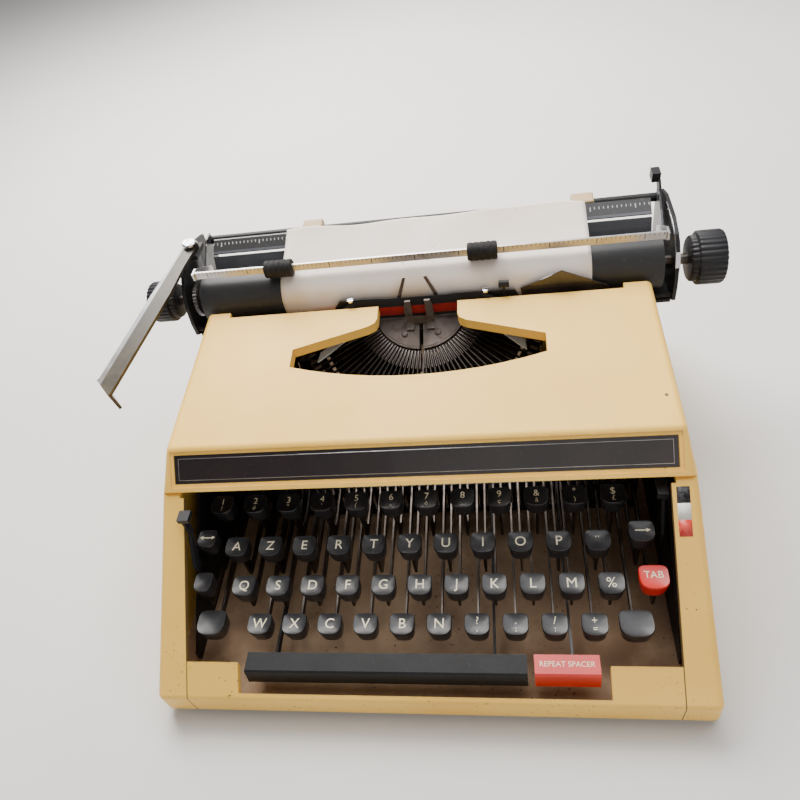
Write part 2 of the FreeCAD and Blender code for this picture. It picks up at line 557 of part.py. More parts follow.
def carriage():
    """Carriage plate, ends, platen, rollers, paper table, margins, bail and levers."""
    under = "carriage_z"
    deck = f"{under} + carriage_thickness"
    plate = box("-plate_x", "carriage_front_y", under, "plate_x", "carriage_back_y", deck)
    notches = pattern(body("XZ", [("0", "84.2"), ("1.27", "85.6"), ("2.54", "84.2")], "10",
                           middle=True, at=("-129.54", "99", 0)), "X_Axis", "2.54", "102")
    rack = cut(box("-130", "97.5", "84.4", "130", "100.5", under), notches)
    node("carriage_plate", group(plate, rack))

    crescent = [("64.4", "92"), ("64.4", "101"), ("66.6", "112"), ("71", "121"), ("78", "127.4"),
                ("90", "131"), ("112", "131"), ("124", "127"), ("124", "118"), ("108", "111"),
                ("98", "102"), ("95", under), ("70", under)]
    bearing = [("platen_y", "platen_z", "shaft_radius + running_gap")]
    left = body("YZ", crescent, "plate_thickness", holes=bearing,
                at=("-plate_x - plate_thickness", 0, 0))
    shelf = cut(box("-plate_x - plate_thickness", "91", "130.5", "-136.8", "105", "lever_z - 1"),
                rod("1.9", "10", "Z", "lever_pivot_x", "lever_pivot_y", "128"))
    right = body("YZ", crescent, "plate_thickness", holes=bearing, at=("plate_x", 0, 0))
    node("end_plates", group(fuse(left, shelf), right))

    left_end = "-platen_half_length"
    rubber = cut(rod("platen_radius", "2 * platen_half_length + 4", "X", left_end, "platen_y",
                     "platen_z"),
                 rod("core_radius", "400", "X", "-200", "platen_y", "platen_z"))
    node("platen", rubber)
    core = cut(rod("core_radius", "2 * platen_half_length + 4", "X", left_end, "platen_y",
                   "platen_z"),
               rod("shaft_radius", "400", "X", "-200", "platen_y", "platen_z"))
    shaft = rod("shaft_radius", "2 * 164", "X", "-164", "platen_y", "platen_z")
    node("platen_core", group(core, shaft))
    knobs = []
    for start, length, radius in (("-knob_end_x", "17.5", "left_knob_radius"),
                                  ("knob_end_x - 18.5", "18.5", "right_knob_radius")):
        knob = rod(radius, length, "X", start, "platen_y", "platen_z")
        knob = rounded(knob, "knob_round", lambda edge: edge.Closed)
        knobs.append(cut(knob, rod("shaft_radius", "328", "X", "-164", "platen_y", "platen_z")))
    node("platen_knobs", group(*knobs))
    ratchet = star(30, size("ratchet_tip"), size("ratchet_tip") - 1.1, 2.4, "shaft_radius", "X",
                   "-139.8", "platen_y", "platen_z")
    node("line_ratchet", ratchet)

    for name, side in (("front", "-"), ("rear", "")):
        y, z = f"platen_y {side or '+'} feed_offset_y", "platen_z - feed_offset_z"
        rollers = [rod("feed_radius", "34", "X", x, y, z) for x in ("-112", "-17", "78")]
        node(f"feed_rollers_{name}", fuse(rod("feed_shaft_radius", "2 * 143.7", "X", "-143.7", y, z),
                                          *rollers))

    sheet_side = [("96.2", deck), ("96.2", "113"), ("101.4", "123.8"), ("102.8", "123.1"),
                  ("97.8", "112.6"), ("97.8", deck)]
    table = body("YZ", sheet_side, "268", at=("-132", 0, 0))
    scale_side = [("102.6", "125.2"), ("110.6", "130"), ("111.8", "130"), ("111.8", "122"),
                  ("110.4", "122"), ("110.4", "128.3"), ("103.4", "124")]
    scale = body("YZ", scale_side, "268", at=("-132", 0, 0))
    hinge = [("bail_pivot_y", "bail_pivot_z", "1.55")]
    side = [("94", deck), ("114", deck), ("119", "122"), ("119", "130.6"), ("111", "130.6"),
            ("94", "120")]
    brackets = [body("YZ", side, "1.2", holes=hinge, at=(x, 0, 0)) for x in ("-137.8", "140.6")]
    node("paper_table", group(table, scale, *brackets))
    node("margin_rail", rod("margin_rail_radius", "277.2", "X", "-136.6", "margin_rail_y",
                            "margin_rail_z"))
    for name in ("left", "right"):
        x = f"{name}_stop_x"
        block = box(f"{x} - stop_width / 2", "113.4", "119.8", f"{x} + stop_width / 2", "123.4",
                    "130.4")
        hole = rod("margin_rail_radius + running_gap", "300", "X", "-150", "margin_rail_y",
                   "margin_rail_z")
        node(f"margin_stop_{name}", cut(rounded(block, "stop_round", lambda edge: True), hole))

    bar = box("-136", "bail_y - 0.6", "bail_z - 2.3", "140", "bail_y + 0.6", "bail_z + 2.3")
    arm_side = [("bail_y - 2", "bail_z - 2.3"), ("bail_y - 2", "bail_z + 2.3"),
                ("bail_y + 4", "bail_z + 2.3"), ("bail_pivot_y + 3", "bail_pivot_z + 3"),
                ("bail_pivot_y + 3", "bail_pivot_z - 3"), ("bail_pivot_y - 2", "bail_pivot_z - 3")]
    arms = [body("YZ", arm_side, "1.2", at=(x, 0, 0)) for x in ("-136", "138.8")]
    pins = [rod("1.5", "1.8", "X", x, "bail_pivot_y", "bail_pivot_z") for x in ("-137.8", "140")]
    node("bail_bar", fuse(bar, *arms, *pins))
    for name in ("left", "right"):
        x = f"{name}_roller_x - bail_roller_length / 2"
        roller = rounded(rod("bail_roller_radius", "bail_roller_length", "X", x, "bail_y", "bail_z"),
                         "roller_round", lambda edge: edge.Closed)
        node(f"bail_roller_{name}", cut(roller, rod("2.45", "40", "X", f"{x} - 5", "bail_y",
                                                    "bail_z")))

    handle = body("XY", [("-4.6", "2"), ("-3", "4.6"), ("3", "4.6"), ("4.6", "2"), ("4.6", "-20"),
                         ("6", "-40"), ("6", "-115"), ("-6.4", "-106"), ("-6", "-40"),
                         ("-4.6", "-20")], "return_thickness", holes=[("0", "0", "2.55")])
    paddle = body("XY", [("6", "-115"), ("-6.4", "-106"), ("-7.4", "-107.4"), ("5", "-116.4")],
                  "13")
    place(paddle, 0, 0, "return_thickness - 13")
    lever = fuse(handle, paddle)
    lever.Placement = FreeCAD.Placement(V(), FreeCAD.Rotation(size("lever_yaw"), 0,
                                                              size("lever_droop")))
    place(lever, "lever_pivot_x", "lever_pivot_y", "lever_z")
    node("return_lever", lever)
    node("return_lever_screw", fuse(rod("1.9", "9.6", "Z", "lever_pivot_x", "lever_pivot_y",
                                        "lever_z - 4.8"),
                                    rod("4.6", "2", "Z", "lever_pivot_x", "lever_pivot_y",
                                        "lever_z + 2.9")))

    stalk = [("105", "115"), ("105", "121"), ("122", "134"), ("127", "134"), ("127", "130"),
             ("111", "115")]
    node("paper_release_lever", fuse(body("YZ", stalk, "1.3", at=("142", 0, 0)),
                                     box("138.4", "123.6", "132", "143.3", "131", "137.6")))
    selector = [("94", "104"), ("92", "110"), ("99", "128.6"), ("106", "128.6"), ("100", "104")]
    node("line_space_selector", body("YZ", selector, "1", at=("-142.8", 0, 0)))
    tab = [("98", "93"), ("98", "101"), ("116", "106"), ("116", "100"), ("104", "93")]
    node("carriage_release_levers", group(*[body("YZ", tab, "1.6", at=(x, 0, 0))
                                            for x in ("-148.2", "146.6")]))
    paper()


def paper():
    """A sheet wound round the front of the platen and laid back over the paper table."""
    y, z = size("platen_y"), size("platen_z")
    inner = size("platen_radius") + size("paper_gap")
    outer = inner + size("paper_thickness")
    top_y, top_z = size("paper_top_y") - y, size("paper_top_z") - z

    def side(radius, rise):
        reach = math.hypot(top_y, top_z + rise)
        touch = math.atan2(top_z + rise, top_y) + math.acos(radius / reach)
        begin, middle = math.radians(size("paper_start")), math.radians(size("paper_middle"))
        spots = [V(0, y + radius * math.cos(a), z + radius * math.sin(a))
                 for a in (begin, middle, touch)]
        return spots, V(0, y + top_y, z + top_z + rise)

    low, low_end = side(inner, 0)
    high, high_end = side(outer, size("paper_thickness"))
    edges = [Part.Arc(*low).toShape(), Part.LineSegment(low[2], low_end).toShape(),
             Part.LineSegment(low_end, high_end).toShape(),
             Part.LineSegment(high_end, high[2]).toShape(), Part.Arc(*reversed(high)).toShape(),
             Part.LineSegment(high[0], low[0]).toShape()]
    face = Part.Face(Part.Wire(edges))
    made = doc.addObject("Part::Feature", "Paper")
    made.Shape = face.extrude(V(size("paper_right_x") - size("paper_left_x"), 0, 0))
    place(made, "paper_left_x", 0, 0)
    node("paper_sheet", made)


def cover():
    """The lift-off top cover with its type opening, and the name panel."""
    def hull(side, inset):
        profile = body("YZ", side, "300", middle=True)
        wide, narrow = f"cover_low_half_width - {inset}", f"cover_high_half_width - {inset}"
        ends = body("XZ", [(f"-({wide})", "70"), (wide, "70"), (narrow, "cover_back_z + 2"),
                           (f"-({narrow})", "cover_back_z + 2")], "300", middle=True)
        return common(profile, ends)

    seam = "body_top_z + 0.5"
    side = [("cover_front_y + 1.4", seam), ("cover_front_y", "cover_front_z"), ("ridge_y", "ridge_z"),
            ("cover_end_back_y", "cover_back_z + 0.3"), ("cover_end_back_y", seam)]
    outer = rounded(hull(side, "0"), "cover_round", lambda e: on_cover_shoulder(e))
    inner = hull([("cover_front_y + 4.6", "70"), ("cover_front_y + 4.6", "cover_front_z + 0.6"),
                  ("ridge_y + 1.4", "ridge_z - cover_wall - 0.4"),
                  ("cover_end_back_y - cover_wall", "cover_back_z - cover_wall"),
                  ("cover_end_back_y - cover_wall", "70")], "cover_wall")

    def opening(spare):
        half, gap = f"(opening_half_width + {spare})", f"(tongue_half_gap + {spare})"
        arc = []
        for k in range(-6, 7):
            x = f"{half} * {k} / 6"
            arc.append((x, f"opening_front_y - {spare} + opening_arc_radius"
                           f" - sqrt(opening_arc_radius ^ 2 - ({x}) ^ 2)"))
        back = f"(opening_corner_y + {spare})"
        tips = [(half, back), (f"{gap} + 5", f"tongue_y - 0.8 + {spare} * 0.8"),
                (f"{gap} + 1.2", "tongue_y + 1.6"), (gap, "tongue_y + 5"),
                (gap, "cover_end_back_y + 3")]
        other = [(f"-({x})", y) for x, y in reversed(tips)]
        return body("XY", arc + tips + other, "60", at=(0, 0, "80"))

    thick = hull([("-20", "100"), ("-20", "ridge_z + 1.38"), ("cover_back_y", "cover_back_z"),
                  ("cover_back_y", "cover_back_z - 6"), ("-20", "96.5")], "3")
    rim = common(thick, opening("2"))
    shell = cut(outer, inner, box("-cover_end_x", "cover_back_y", "70", "cover_end_x",
                                  "cover_end_back_y + 2", "120"))
    joined = cut(fuse(shell, rim), opening("0"), panel_block("-3", "0.7", "2.2"),
                 panel_block("-3", "panel_depth", "0.3"))
    node("top_cover", joined)
    node("name_panel", panel_block("panel_depth - panel_thickness", "panel_depth", "0"))


def panel_block(high, low, spare):
    """A strip let into the cover's leaning front face, between two depths."""
    run, rise = "(ridge_y - cover_front_y)", "(ridge_z - cover_front_z)"
    length = f"sqrt({run} ^ 2 + {rise} ^ 2)"

    def corner(along, depth):
        y = f"cover_front_y + (({along}) * {run} + ({depth}) * {rise}) / {length}"
        z = f"cover_front_z + (({along}) * {rise} - ({depth}) * {run}) / {length}"
        return y, z

    start, end = f"panel_low - {spare}", f"panel_high + {spare}"
    side = [corner(start, low), corner(end, low), corner(end, high), corner(start, high)]
    width = f"2 * (panel_half_width + {spare})"
    return body("YZ", side, width, middle=True)


def on_cover_shoulder(edge):
    """The ridge, the long side edges of the top and the leaning ends of the front."""
    span = edge.BoundBox
    if span.ZMin < size("cover_front_z") - 12 or span.ZMax < size("ridge_z") - 1:
        return False
    across = span.XLength > 200 and abs(span.YMin - size("ridge_y")) < 1
    at_side = span.XMin > 120 or span.XMax < -120
    return across or (at_side and span.YLength > 10)


for build in (casing, frame, keys, typebasket, ribbon_parts, inside_works, carriage, cover):
    build()

doc.recompute()
os.makedirs("parts", exist_ok=True)
for item in doc.Objects:
    if "Invalid" in item.State or "Error" in item.State:
        used = [other.Label for other in item.InListRecursive]
        raise RuntimeError(f"{item.Name} of {used} failed: {item.getStatusString()}")
for item in nodes:
    if item.Shape.isNull() or not item.Shape.isValid():
        raise RuntimeError(f"{item.Label} has no valid shape")
for item in nodes:
    item.Shape.exportStep(f"parts/{item.Label}.step")
    print(item.Label, len(item.Shape.Solids), round(item.Shape.Volume, 1))
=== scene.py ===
import math

import bpy
from mathutils import Matrix, Vector


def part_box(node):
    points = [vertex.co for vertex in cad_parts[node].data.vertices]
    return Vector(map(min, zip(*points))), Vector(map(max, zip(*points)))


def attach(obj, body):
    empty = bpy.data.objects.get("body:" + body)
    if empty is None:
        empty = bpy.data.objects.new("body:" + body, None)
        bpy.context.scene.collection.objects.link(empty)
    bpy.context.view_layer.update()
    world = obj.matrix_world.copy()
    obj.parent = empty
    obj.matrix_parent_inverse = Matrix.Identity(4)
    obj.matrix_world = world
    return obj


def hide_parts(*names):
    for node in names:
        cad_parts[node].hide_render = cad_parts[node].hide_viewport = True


# The looks of a portable typewriter.  Lengths are written in millimetres and turned to metres by MM.

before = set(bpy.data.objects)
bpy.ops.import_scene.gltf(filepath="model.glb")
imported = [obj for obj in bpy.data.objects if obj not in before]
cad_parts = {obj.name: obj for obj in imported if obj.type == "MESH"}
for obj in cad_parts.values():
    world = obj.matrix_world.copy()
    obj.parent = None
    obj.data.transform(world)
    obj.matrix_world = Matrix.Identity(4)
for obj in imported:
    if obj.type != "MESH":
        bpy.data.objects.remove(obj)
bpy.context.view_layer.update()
MM = 0.001
scene = bpy.context.scene


# ---------------------------------------------------------------- meshes

class Solid:
    """Vertices and faces, in millimetres, gathered for one piece."""

    def __init__(self):
        self.points = []
        self.faces = []

    def loft(self, rings, caps=True, closed=True):
        """Skin a list of rings that have the same number of points."""
        start, count = len(self.points), len(rings[0])
        for ring in rings:
            self.points += [Vector(p) for p in ring]
        for k in range(len(rings) - 1):
            for i in range(count if closed else count - 1):
                a, b = start + k * count + i, start + k * count + (i + 1) % count
                self.faces.append((a, b, b + count, a + count))
        if caps:
            last = start + (len(rings) - 1) * count
            self.faces.append(tuple(range(start + count - 1, start - 1, -1)))
            self.faces.append(tuple(range(last, last + count)))
        return self

    def block(self, low, high):
        """A block between two corners."""
        (x0, y0, z0), (x1, y1, z1) = low, high
        flat = [(x0, y0), (x1, y0), (x1, y1), (x0, y1)]
        return self.loft([[(x, y, z) for x, y in flat] for z in (z0, z1)])

    def slab(self, outline, low, high):
        """A flat shape drawn in the YZ plane and thickened along X."""
        return self.loft([[(x, y, z) for y, z in outline] for x in (low, high)])

    def turned(self, profile, centre, axis, sides=64, flutes=0, depth=0.0):
        """A shape turned about an axis from (along, radius) pairs, with optional flutes."""
        rings = []
        for along, radius in profile:
            ring = []
            for k in range(sides):
                turn = 2 * math.pi * k / sides
                reach = radius
                if flutes and radius > depth * 6:
                    reach -= depth * (0.5 + 0.5 * math.cos(flutes * turn)) ** 2
                flat = (reach * math.cos(turn), reach * math.sin(turn))
                spot = {"X": (along, *flat), "Y": (flat[1], along, flat[0]), "Z": (*flat, along)}[axis]
                ring.append(Vector(centre) + Vector(spot))
            rings.append(ring)
        return self.loft(rings)

    def moved(self, matrix, start=0):
        """Turn and shift the points from start on."""
        self.points[start:] = [matrix @ p for p in self.points[start:]]
        return self


def finish_object(obj, body, material, replaced=()):
    """Give a piece its material and its body, and hide the CAD nodes it replaces."""
    obj.data.materials.clear()
    obj.data.materials.append(material)
    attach(obj, body)
    if replaced:
        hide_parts(*replaced)
    return obj


def piece(name, solid, body, material, replaced=(), bevel=0.0, smooth=35, thick=0.0):
    """Turn a Solid into a shown piece."""
    mesh = bpy.data.meshes.new(name)
    mesh.from_pydata([p * MM for p in solid.points], [], solid.faces)
    mesh.update()
    mesh.shade_smooth()
    mesh.set_sharp_from_angle(angle=math.radians(smooth))
    obj = bpy.data.objects.new(name, mesh)
    scene.collection.objects.link(obj)
    if thick:
        shell = obj.modifiers.new("thickness", "SOLIDIFY")
        shell.thickness = thick * MM
    if bevel:
        soften(obj, bevel)
    return finish_object(obj, body, material, replaced)


def soften(obj, width, segments=2, angle=32):
    """Round the sharp edges of a piece."""
    edge = obj.modifiers.new("soft_edges", "BEVEL")
    edge.width = width * MM
    edge.segments = segments
    edge.limit_method = "ANGLE"
    edge.angle_limit = math.radians(angle)
    edge.use_clamp_overlap = True


def node_box(name):
    """A CAD node's corners in millimetres."""
    low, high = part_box(name)
    return Vector(low) / MM, Vector(high) / MM


# ---------------------------------------------------------------- materials

def linear(colour):
    """An sRGB colour, 0 to 255, as the linear numbers that shaders take."""
    parts = [c / 255 for c in colour]
    return (*[c / 12.92 if c <= 0.04045 else ((c + 0.055) / 1.055) ** 2.4 for c in parts], 1.0)


class Paint:
    """A procedural material that grows by layers over a Principled shader."""

    def __init__(self, name, rough, metal=0.0, coat=0.0):
        self.material = bpy.data.materials.new(name)
        self.material.use_nodes = True
        self.tree = self.material.node_tree
        self.shader = self.tree.nodes["Principled BSDF"]
        self.shader.inputs["Metallic"].default_value = metal
        self.shader.inputs["Roughness"].default_value = rough
        self.shader.inputs["Coat Weight"].default_value = coat
        self.place = self.tree.nodes.new("ShaderNodeTexCoord").outputs["Object"]
        self.colour = None
        self.bump = None

    def math(self, kind, first, second=0.0, third=0.0):
        made = self.tree.nodes.new("ShaderNodeMath")
        made.operation = kind
        for socket, value in zip(made.inputs, (first, second, third)):
            if isinstance(value, (int, float)):
                socket.default_value = value
            else:
                self.tree.links.new(value, socket)
        return made.outputs[0]

    def axis(self, name):
        """The X, Y or Z of the place, in metres."""
        split = self.tree.nodes.new("ShaderNodeSeparateXYZ")
        self.tree.links.new(self.place, split.inputs[0])
        return split.outputs[name]

    def noise(self, scale, detail=4.0, rough=0.55, squash=(1, 1, 1)):
        """Noise from 0 to 1; scale is in cells for each metre."""
        stretch = self.tree.nodes.new("ShaderNodeMapping")
        stretch.inputs["Scale"].default_value = squash
        self.tree.links.new(self.place, stretch.inputs["Vector"])
        made = self.tree.nodes.new("ShaderNodeTexNoise")
        made.inputs["Scale"].default_value = scale
        made.inputs["Detail"].default_value = detail
        made.inputs["Roughness"].default_value = rough
        self.tree.links.new(stretch.outputs[0], made.inputs["Vector"])
        return made.outputs["Fac"]

    def ramp(self, value, low, high, invert=False):
        """A soft step of a value between two levels."""
        made = self.tree.nodes.new("ShaderNodeMapRange")
        made.interpolation_type = "SMOOTHSTEP"
        for socket, number in (("From Min", low), ("From Max", high)):
            made.inputs[socket].default_value = number
        made.inputs["To Min"].default_value = 1.0 if invert else 0.0
        made.inputs["To Max"].default_value = 0.0 if invert else 1.0
        self.tree.links.new(value, made.inputs["Value"])
        return made.outputs[0]

    def both(self, *masks):
        """Where every mask is high."""
        joined = masks[0]
        for mask in masks[1:]:
            joined = self.math("MULTIPLY", joined, mask)
        return joined

    def band(self, axis, low, high):
        """1 between two heights of an axis, in millimetres."""
        value = self.axis(axis)
        return self.both(self.math("GREATER_THAN", value, low * MM), self.math("LESS_THAN", value, high * MM))

    def ticks(self, axis, pitch, width):
        """1 in thin stripes across an axis, in millimetres."""
        turn = self.math("FRACT", self.math("ADD", self.math("DIVIDE", self.axis(axis), pitch * MM), 500.0))
        return self.math("LESS_THAN", turn, width / pitch)

    def dot(self, x, y, radius):
        """1 inside an upright round spot; x and y in metres, radius in millimetres."""
        across = self.math("SUBTRACT", self.axis("X"), x)
        along = self.math("SUBTRACT", self.axis("Y"), y)
        far = self.math("ADD", self.math("MULTIPLY", across, across), self.math("MULTIPLY", along, along))
        return self.math("LESS_THAN", far, (radius * MM) ** 2)

    def edges(self, width):
        """1 along worn edges and corners."""
        bevel = self.tree.nodes.new("ShaderNodeBevel")
        bevel.samples = 4
        bevel.inputs["Radius"].default_value = width * MM
        shape = self.tree.nodes.new("ShaderNodeNewGeometry")
        dot = self.tree.nodes.new("ShaderNodeVectorMath")
        dot.operation = "DOT_PRODUCT"
        self.tree.links.new(bevel.outputs[0], dot.inputs[0])
        self.tree.links.new(shape.outputs["Normal"], dot.inputs[1])
        return self.ramp(dot.outputs["Value"], 0.80, 0.985, invert=True)

    def base(self, colour, other, scale=30.0, squash=(1, 1, 1)):
        """The ground colour, drifting between two tones."""
        mix = self.tree.nodes.new("ShaderNodeMix")
        mix.data_type = "RGBA"
        mix.inputs["A"].default_value = linear(colour)
        mix.inputs["B"].default_value = linear(other)
        self.tree.links.new(self.ramp(self.noise(scale, squash=squash), 0.36, 0.66), mix.inputs["Factor"])
        self.colour = mix.outputs["Result"]
        return self

    def over(self, mask, colour, strength=1.0):
        """Lay a colour over the ground where the mask is high."""
        mix = self.tree.nodes.new("ShaderNodeMix")
        mix.data_type = "RGBA"
        self.tree.links.new(self.colour, mix.inputs["A"])
        mix.inputs["B"].default_value = linear(colour)
        self.tree.links.new(self.math("MULTIPLY", mask, strength), mix.inputs["Factor"])
        self.colour = mix.outputs["Result"]
        return self

    def relief(self, height, depth):
        """Add bump of a depth in millimetres."""
        made = self.tree.nodes.new("ShaderNodeBump")
        made.inputs["Strength"].default_value = 1.0
        made.inputs["Distance"].default_value = depth * MM
        self.tree.links.new(height, made.inputs["Height"])
        if self.bump:
            self.tree.links.new(self.bump, made.inputs["Normal"])
        self.bump = made.outputs["Normal"]
        return self

    def shine(self, value, low, high):
        """Roughness between two values, led by a mask."""
        made = self.tree.nodes.new("ShaderNodeMapRange")
        made.inputs["To Min"].default_value = low
        made.inputs["To Max"].default_value = high
        self.tree.links.new(value, made.inputs["Value"])
        self.tree.links.new(made.outputs[0], self.shader.inputs["Roughness"])
        return self

    def metal(self, mask):
        """Metal only where the mask is high."""
        self.tree.links.new(mask, self.shader.inputs["Metallic"])
        return self

    def done(self):
        self.tree.links.new(self.colour, self.shader.inputs["Base Color"])
        if self.bump:
            self.tree.links.new(self.bump, self.shader.inputs["Normal"])
        return self.material


def casing_plastic():
    """Cream moulded plastic with a fine grain, yellowed edges, dust and dirt specks, and painted shade on the
    keyboard well's side walls and in a hole.
    """
    p = Paint("cream_plastic", 0.42)
    p.shader.inputs["Specular IOR Level"].default_value = 0.3
    p.base((252, 204, 98), (247, 196, 86), 14)
    p.over(p.ramp(p.noise(6), 0.5, 0.72), (236, 180, 92), 0.35)
    p.over(p.both(p.edges(1.6), p.ramp(p.noise(240), 0.35, 0.6)), (188, 152, 100), 0.45)
    front_right = p.both(p.ramp(p.axis("X"), 0.098, 0.126), p.ramp(p.axis("Y"), 0.0, -0.06))
    front = p.ramp(p.axis("Y"), -0.085, -0.13)
    specks = p.ramp(p.noise(520, 2), 0.66, 0.70)
    patches = p.ramp(p.noise(46, 3), 0.47, 0.6)
    p.over(p.both(specks, patches, p.math("MAXIMUM", front_right, front)), (62, 44, 30), 0.85)
    p.over(p.both(p.ramp(p.noise(900, 1), 0.735, 0.76), patches), (90, 66, 44), 0.5)
    # Painted shade: the inner side walls of the keyboard well are darkened where they fall in shadow.
    side = p.math("ABSOLUTE", p.axis("X"))
    well_wall_painted_shade = p.both(p.math("GREATER_THAN", side, 0.1229), p.math("LESS_THAN", side, 0.1235),
                   p.ramp(p.axis("Y"), -0.030, -0.034), p.ramp(p.axis("Z"), 0.0835, 0.083))
    p.over(well_wall_painted_shade, (66, 55, 45), 0.88)
    # Painted shade: a dark round spot stands in for the shaded inside of a hole in the cover.
    hole_painted_shade = p.both(p.dot(0.1255, -0.0167, 0.9), p.ramp(p.axis("Z"), 0.094, 0.095))
    p.over(hole_painted_shade, (58, 46, 36), 0.9)
    p.relief(p.noise(1500, 2), 0.045)
    p.relief(p.noise(300, 2), 0.03)
    return p.shine(p.noise(40), 0.36, 0.52).done()


def moulded(name, colour, other, rough=0.5, grain=900, depth=0.04, worn=(120, 120, 122), worn_strength=0.35,
            coat=0.0):
    """Dark or coloured plastic and lacquer with a grain and rubbed edges."""
    p = Paint(name, rough, coat=coat)
    p.shader.inputs["Specular IOR Level"].default_value = 0.5 if coat else 0.25
    p.base(colour, other, 34)
    p.over(p.both(p.edges(0.45), p.ramp(p.noise(420), 0.4, 0.62)), worn, worn_strength)
    p.over(p.ramp(p.noise(650, 2), 0.63, 0.72), (96, 84, 70), 0.14)
    p.relief(p.noise(grain, 2), depth)
    return p.shine(p.noise(60), rough - 0.08, rough + 0.1).done()


def metal(name, colour, other, rough=0.3, grain_squash=(1, 60, 60), depth=0.01, tint=(60, 46, 34), stained=0.3):
    """Brushed or plated metal with fine lines, dull patches and stains in the edges."""
    p = Paint(name, rough, metal=1.0)
    p.base(colour, other, 50)
    p.over(p.ramp(p.noise(130, 5), 0.52, 0.74), tint, stained)
    p.relief(p.noise(60, 6, 0.7, grain_squash), depth)
    return p.shine(p.noise(90, 5), rough - 0.08, rough + 0.18).done()


def dusty_metal():
    """Painted floor plate under years of brown dust, rubber crumbs and grease."""
    p = Paint("tray_brown", 0.75)
    p.base((160, 132, 104), (136, 110, 84), 22)
    p.over(p.ramp(p.noise(70, 6, 0.7), 0.45, 0.7), (176, 150, 120), 0.5)
    p.over(p.ramp(p.noise(9, 2), 0.5, 0.62), (104, 82, 62), 0.5)
    p.over(p.both(p.ramp(p.noise(480, 2), 0.66, 0.7), p.ramp(p.noise(40), 0.45, 0.6)), (24, 18, 14), 0.9)
    p.relief(p.noise(700, 3), 0.08)
    return p.shine(p.noise(120), 0.62, 0.9).done()


def key_plastic(name, colour, other, rim):
    """Glossy key caps: a grained dish, a rubbed rim and dusty skirts."""
    p = Paint(name, 0.3, coat=0.12)
    p.shader.inputs["Specular IOR Level"].default_value = 0.35
    p.shader.inputs["Coat Roughness"].default_value = 0.16
    p.base(colour, other, 60)
    p.over(p.both(p.edges(0.28), p.ramp(p.noise(300), 0.3, 0.55)), rim, 0.5)
    p.over(p.ramp(p.noise(700, 3), 0.62, 0.7), (128, 120, 108), 0.10)
    p.relief(p.noise(1300, 2), 0.018)
    return p.shine(p.noise(150, 4), 0.26, 0.46).done()


def platen_rubber():
    """Hard black rubber, greyed by paper and struck by type."""
    p = Paint("platen_rubber", 0.55)
    p.base((30, 30, 32), (44, 43, 43), 26, squash=(0.3, 1, 1))
    p.over(p.ramp(p.noise(380, 3), 0.6, 0.75), (70, 68, 66), 0.4)
    p.relief(p.noise(900, 3, 0.6, (0.3, 1, 1)), 0.03)
    return p.shine(p.noise(70, 3, 0.5, (0.2, 1, 1)), 0.42, 0.66).done()


def paper_white():
    """Old typing paper with soft fibres, a yellower tint low on the sheet and a few creases."""
    p = Paint("paper", 0.85)
    p.base((240, 228, 218), (232, 218, 206), 20)
    # Yellower in patches towards the bottom of the sheet.
    tint = p.both(p.ramp(p.noise(26, 3), 0.46, 0.66), p.ramp(p.axis("Z"), 0.128, 0.112))
    p.over(tint, (222, 190, 134), 0.5)
    p.over(p.both(p.ramp(p.noise(150, 2), 0.66, 0.72), p.ramp(p.noise(22), 0.5, 0.6)), (170, 160, 148), 0.5)
    p.relief(p.noise(1400, 3), 0.02)
    p.relief(p.noise(34, 2), 0.35)
    return p.done()


def ribbon_cloth():
    """Woven two-colour ribbon: black above, red below."""
    p = Paint("ribbon_cloth", 0.8)
    low, high = node_box("ribbon")
    middle = (low.z + high.z) / 2
    p.base((22, 20, 20), (30, 26, 26), 80)
    p.over(p.band("Z", low.z - 1, middle), (168, 28, 18))
    p.over(p.ramp(p.noise(260, 3), 0.5, 0.7), (40, 20, 18), 0.35)
    weave = p.both(p.ticks("Z", 0.34, 0.2), p.ticks("X", 0.34, 0.2))
    return p.relief(weave, 0.04).done()


def spool_finish():
    """Bright pressed flanges with black ribbon wound between them."""
    p = Paint("spool", 0.4)
    low, high = node_box("ribbon_spool_left")
    wound = p.band("Z", low.z + 1.1, high.z - 1.1)
    p.base((176, 174, 170), (150, 148, 144), 50)
    p.over(wound, (20, 18, 18))
    p.metal(p.math("SUBTRACT", 1.0, wound))
    turns = p.both(wound, p.ticks("Z", 0.5, 0.25))
    return p.relief(turns, 0.05).shine(p.noise(80), 0.25, 0.55).done()


def segment_metal():
    """Machined grey-brown casting with old oil in its corners."""
    p = Paint("segment_grey", 0.48, metal=0.75)
    p.base((118, 108, 102), (98, 88, 82), 70)
    p.over(p.ramp(p.noise(170, 4), 0.5, 0.68), (58, 46, 38), 0.5)
    p.over(p.edges(0.3), (170, 160, 150), 0.35)
    p.relief(p.noise(900, 3), 0.03)
    return p.shine(p.noise(140), 0.36, 0.6).done()


def bail_metal():
    """Flat silver bar with a printed rule of ticks along its front."""
    p = Paint("bail_metal", 0.3, metal=0.65)
    low, high = node_box("bail_bar")
    p.base((190, 188, 190), (168, 166, 168), 60, squash=(0.1, 1, 1))
    ink = (28, 26, 28)
    spaces = p.both(p.ticks("X", 2.54, 0.35), p.band("Z", high.z - 2.0, high.z - 0.2))
    tens = p.both(p.ticks("X", 25.4, 0.5), p.band("Z", high.z - 3.6, high.z - 0.2))
    p.over(spaces, ink, 0.85)
    p.over(tens, ink, 0.95)
    p.over(p.ramp(p.noise(120, 5), 0.55, 0.75), (90, 80, 72), 0.35)
    p.relief(p.noise(50, 5, 0.7, (1, 50, 50)), 0.008)
    return p.shine(p.noise(100), 0.2, 0.42).done()


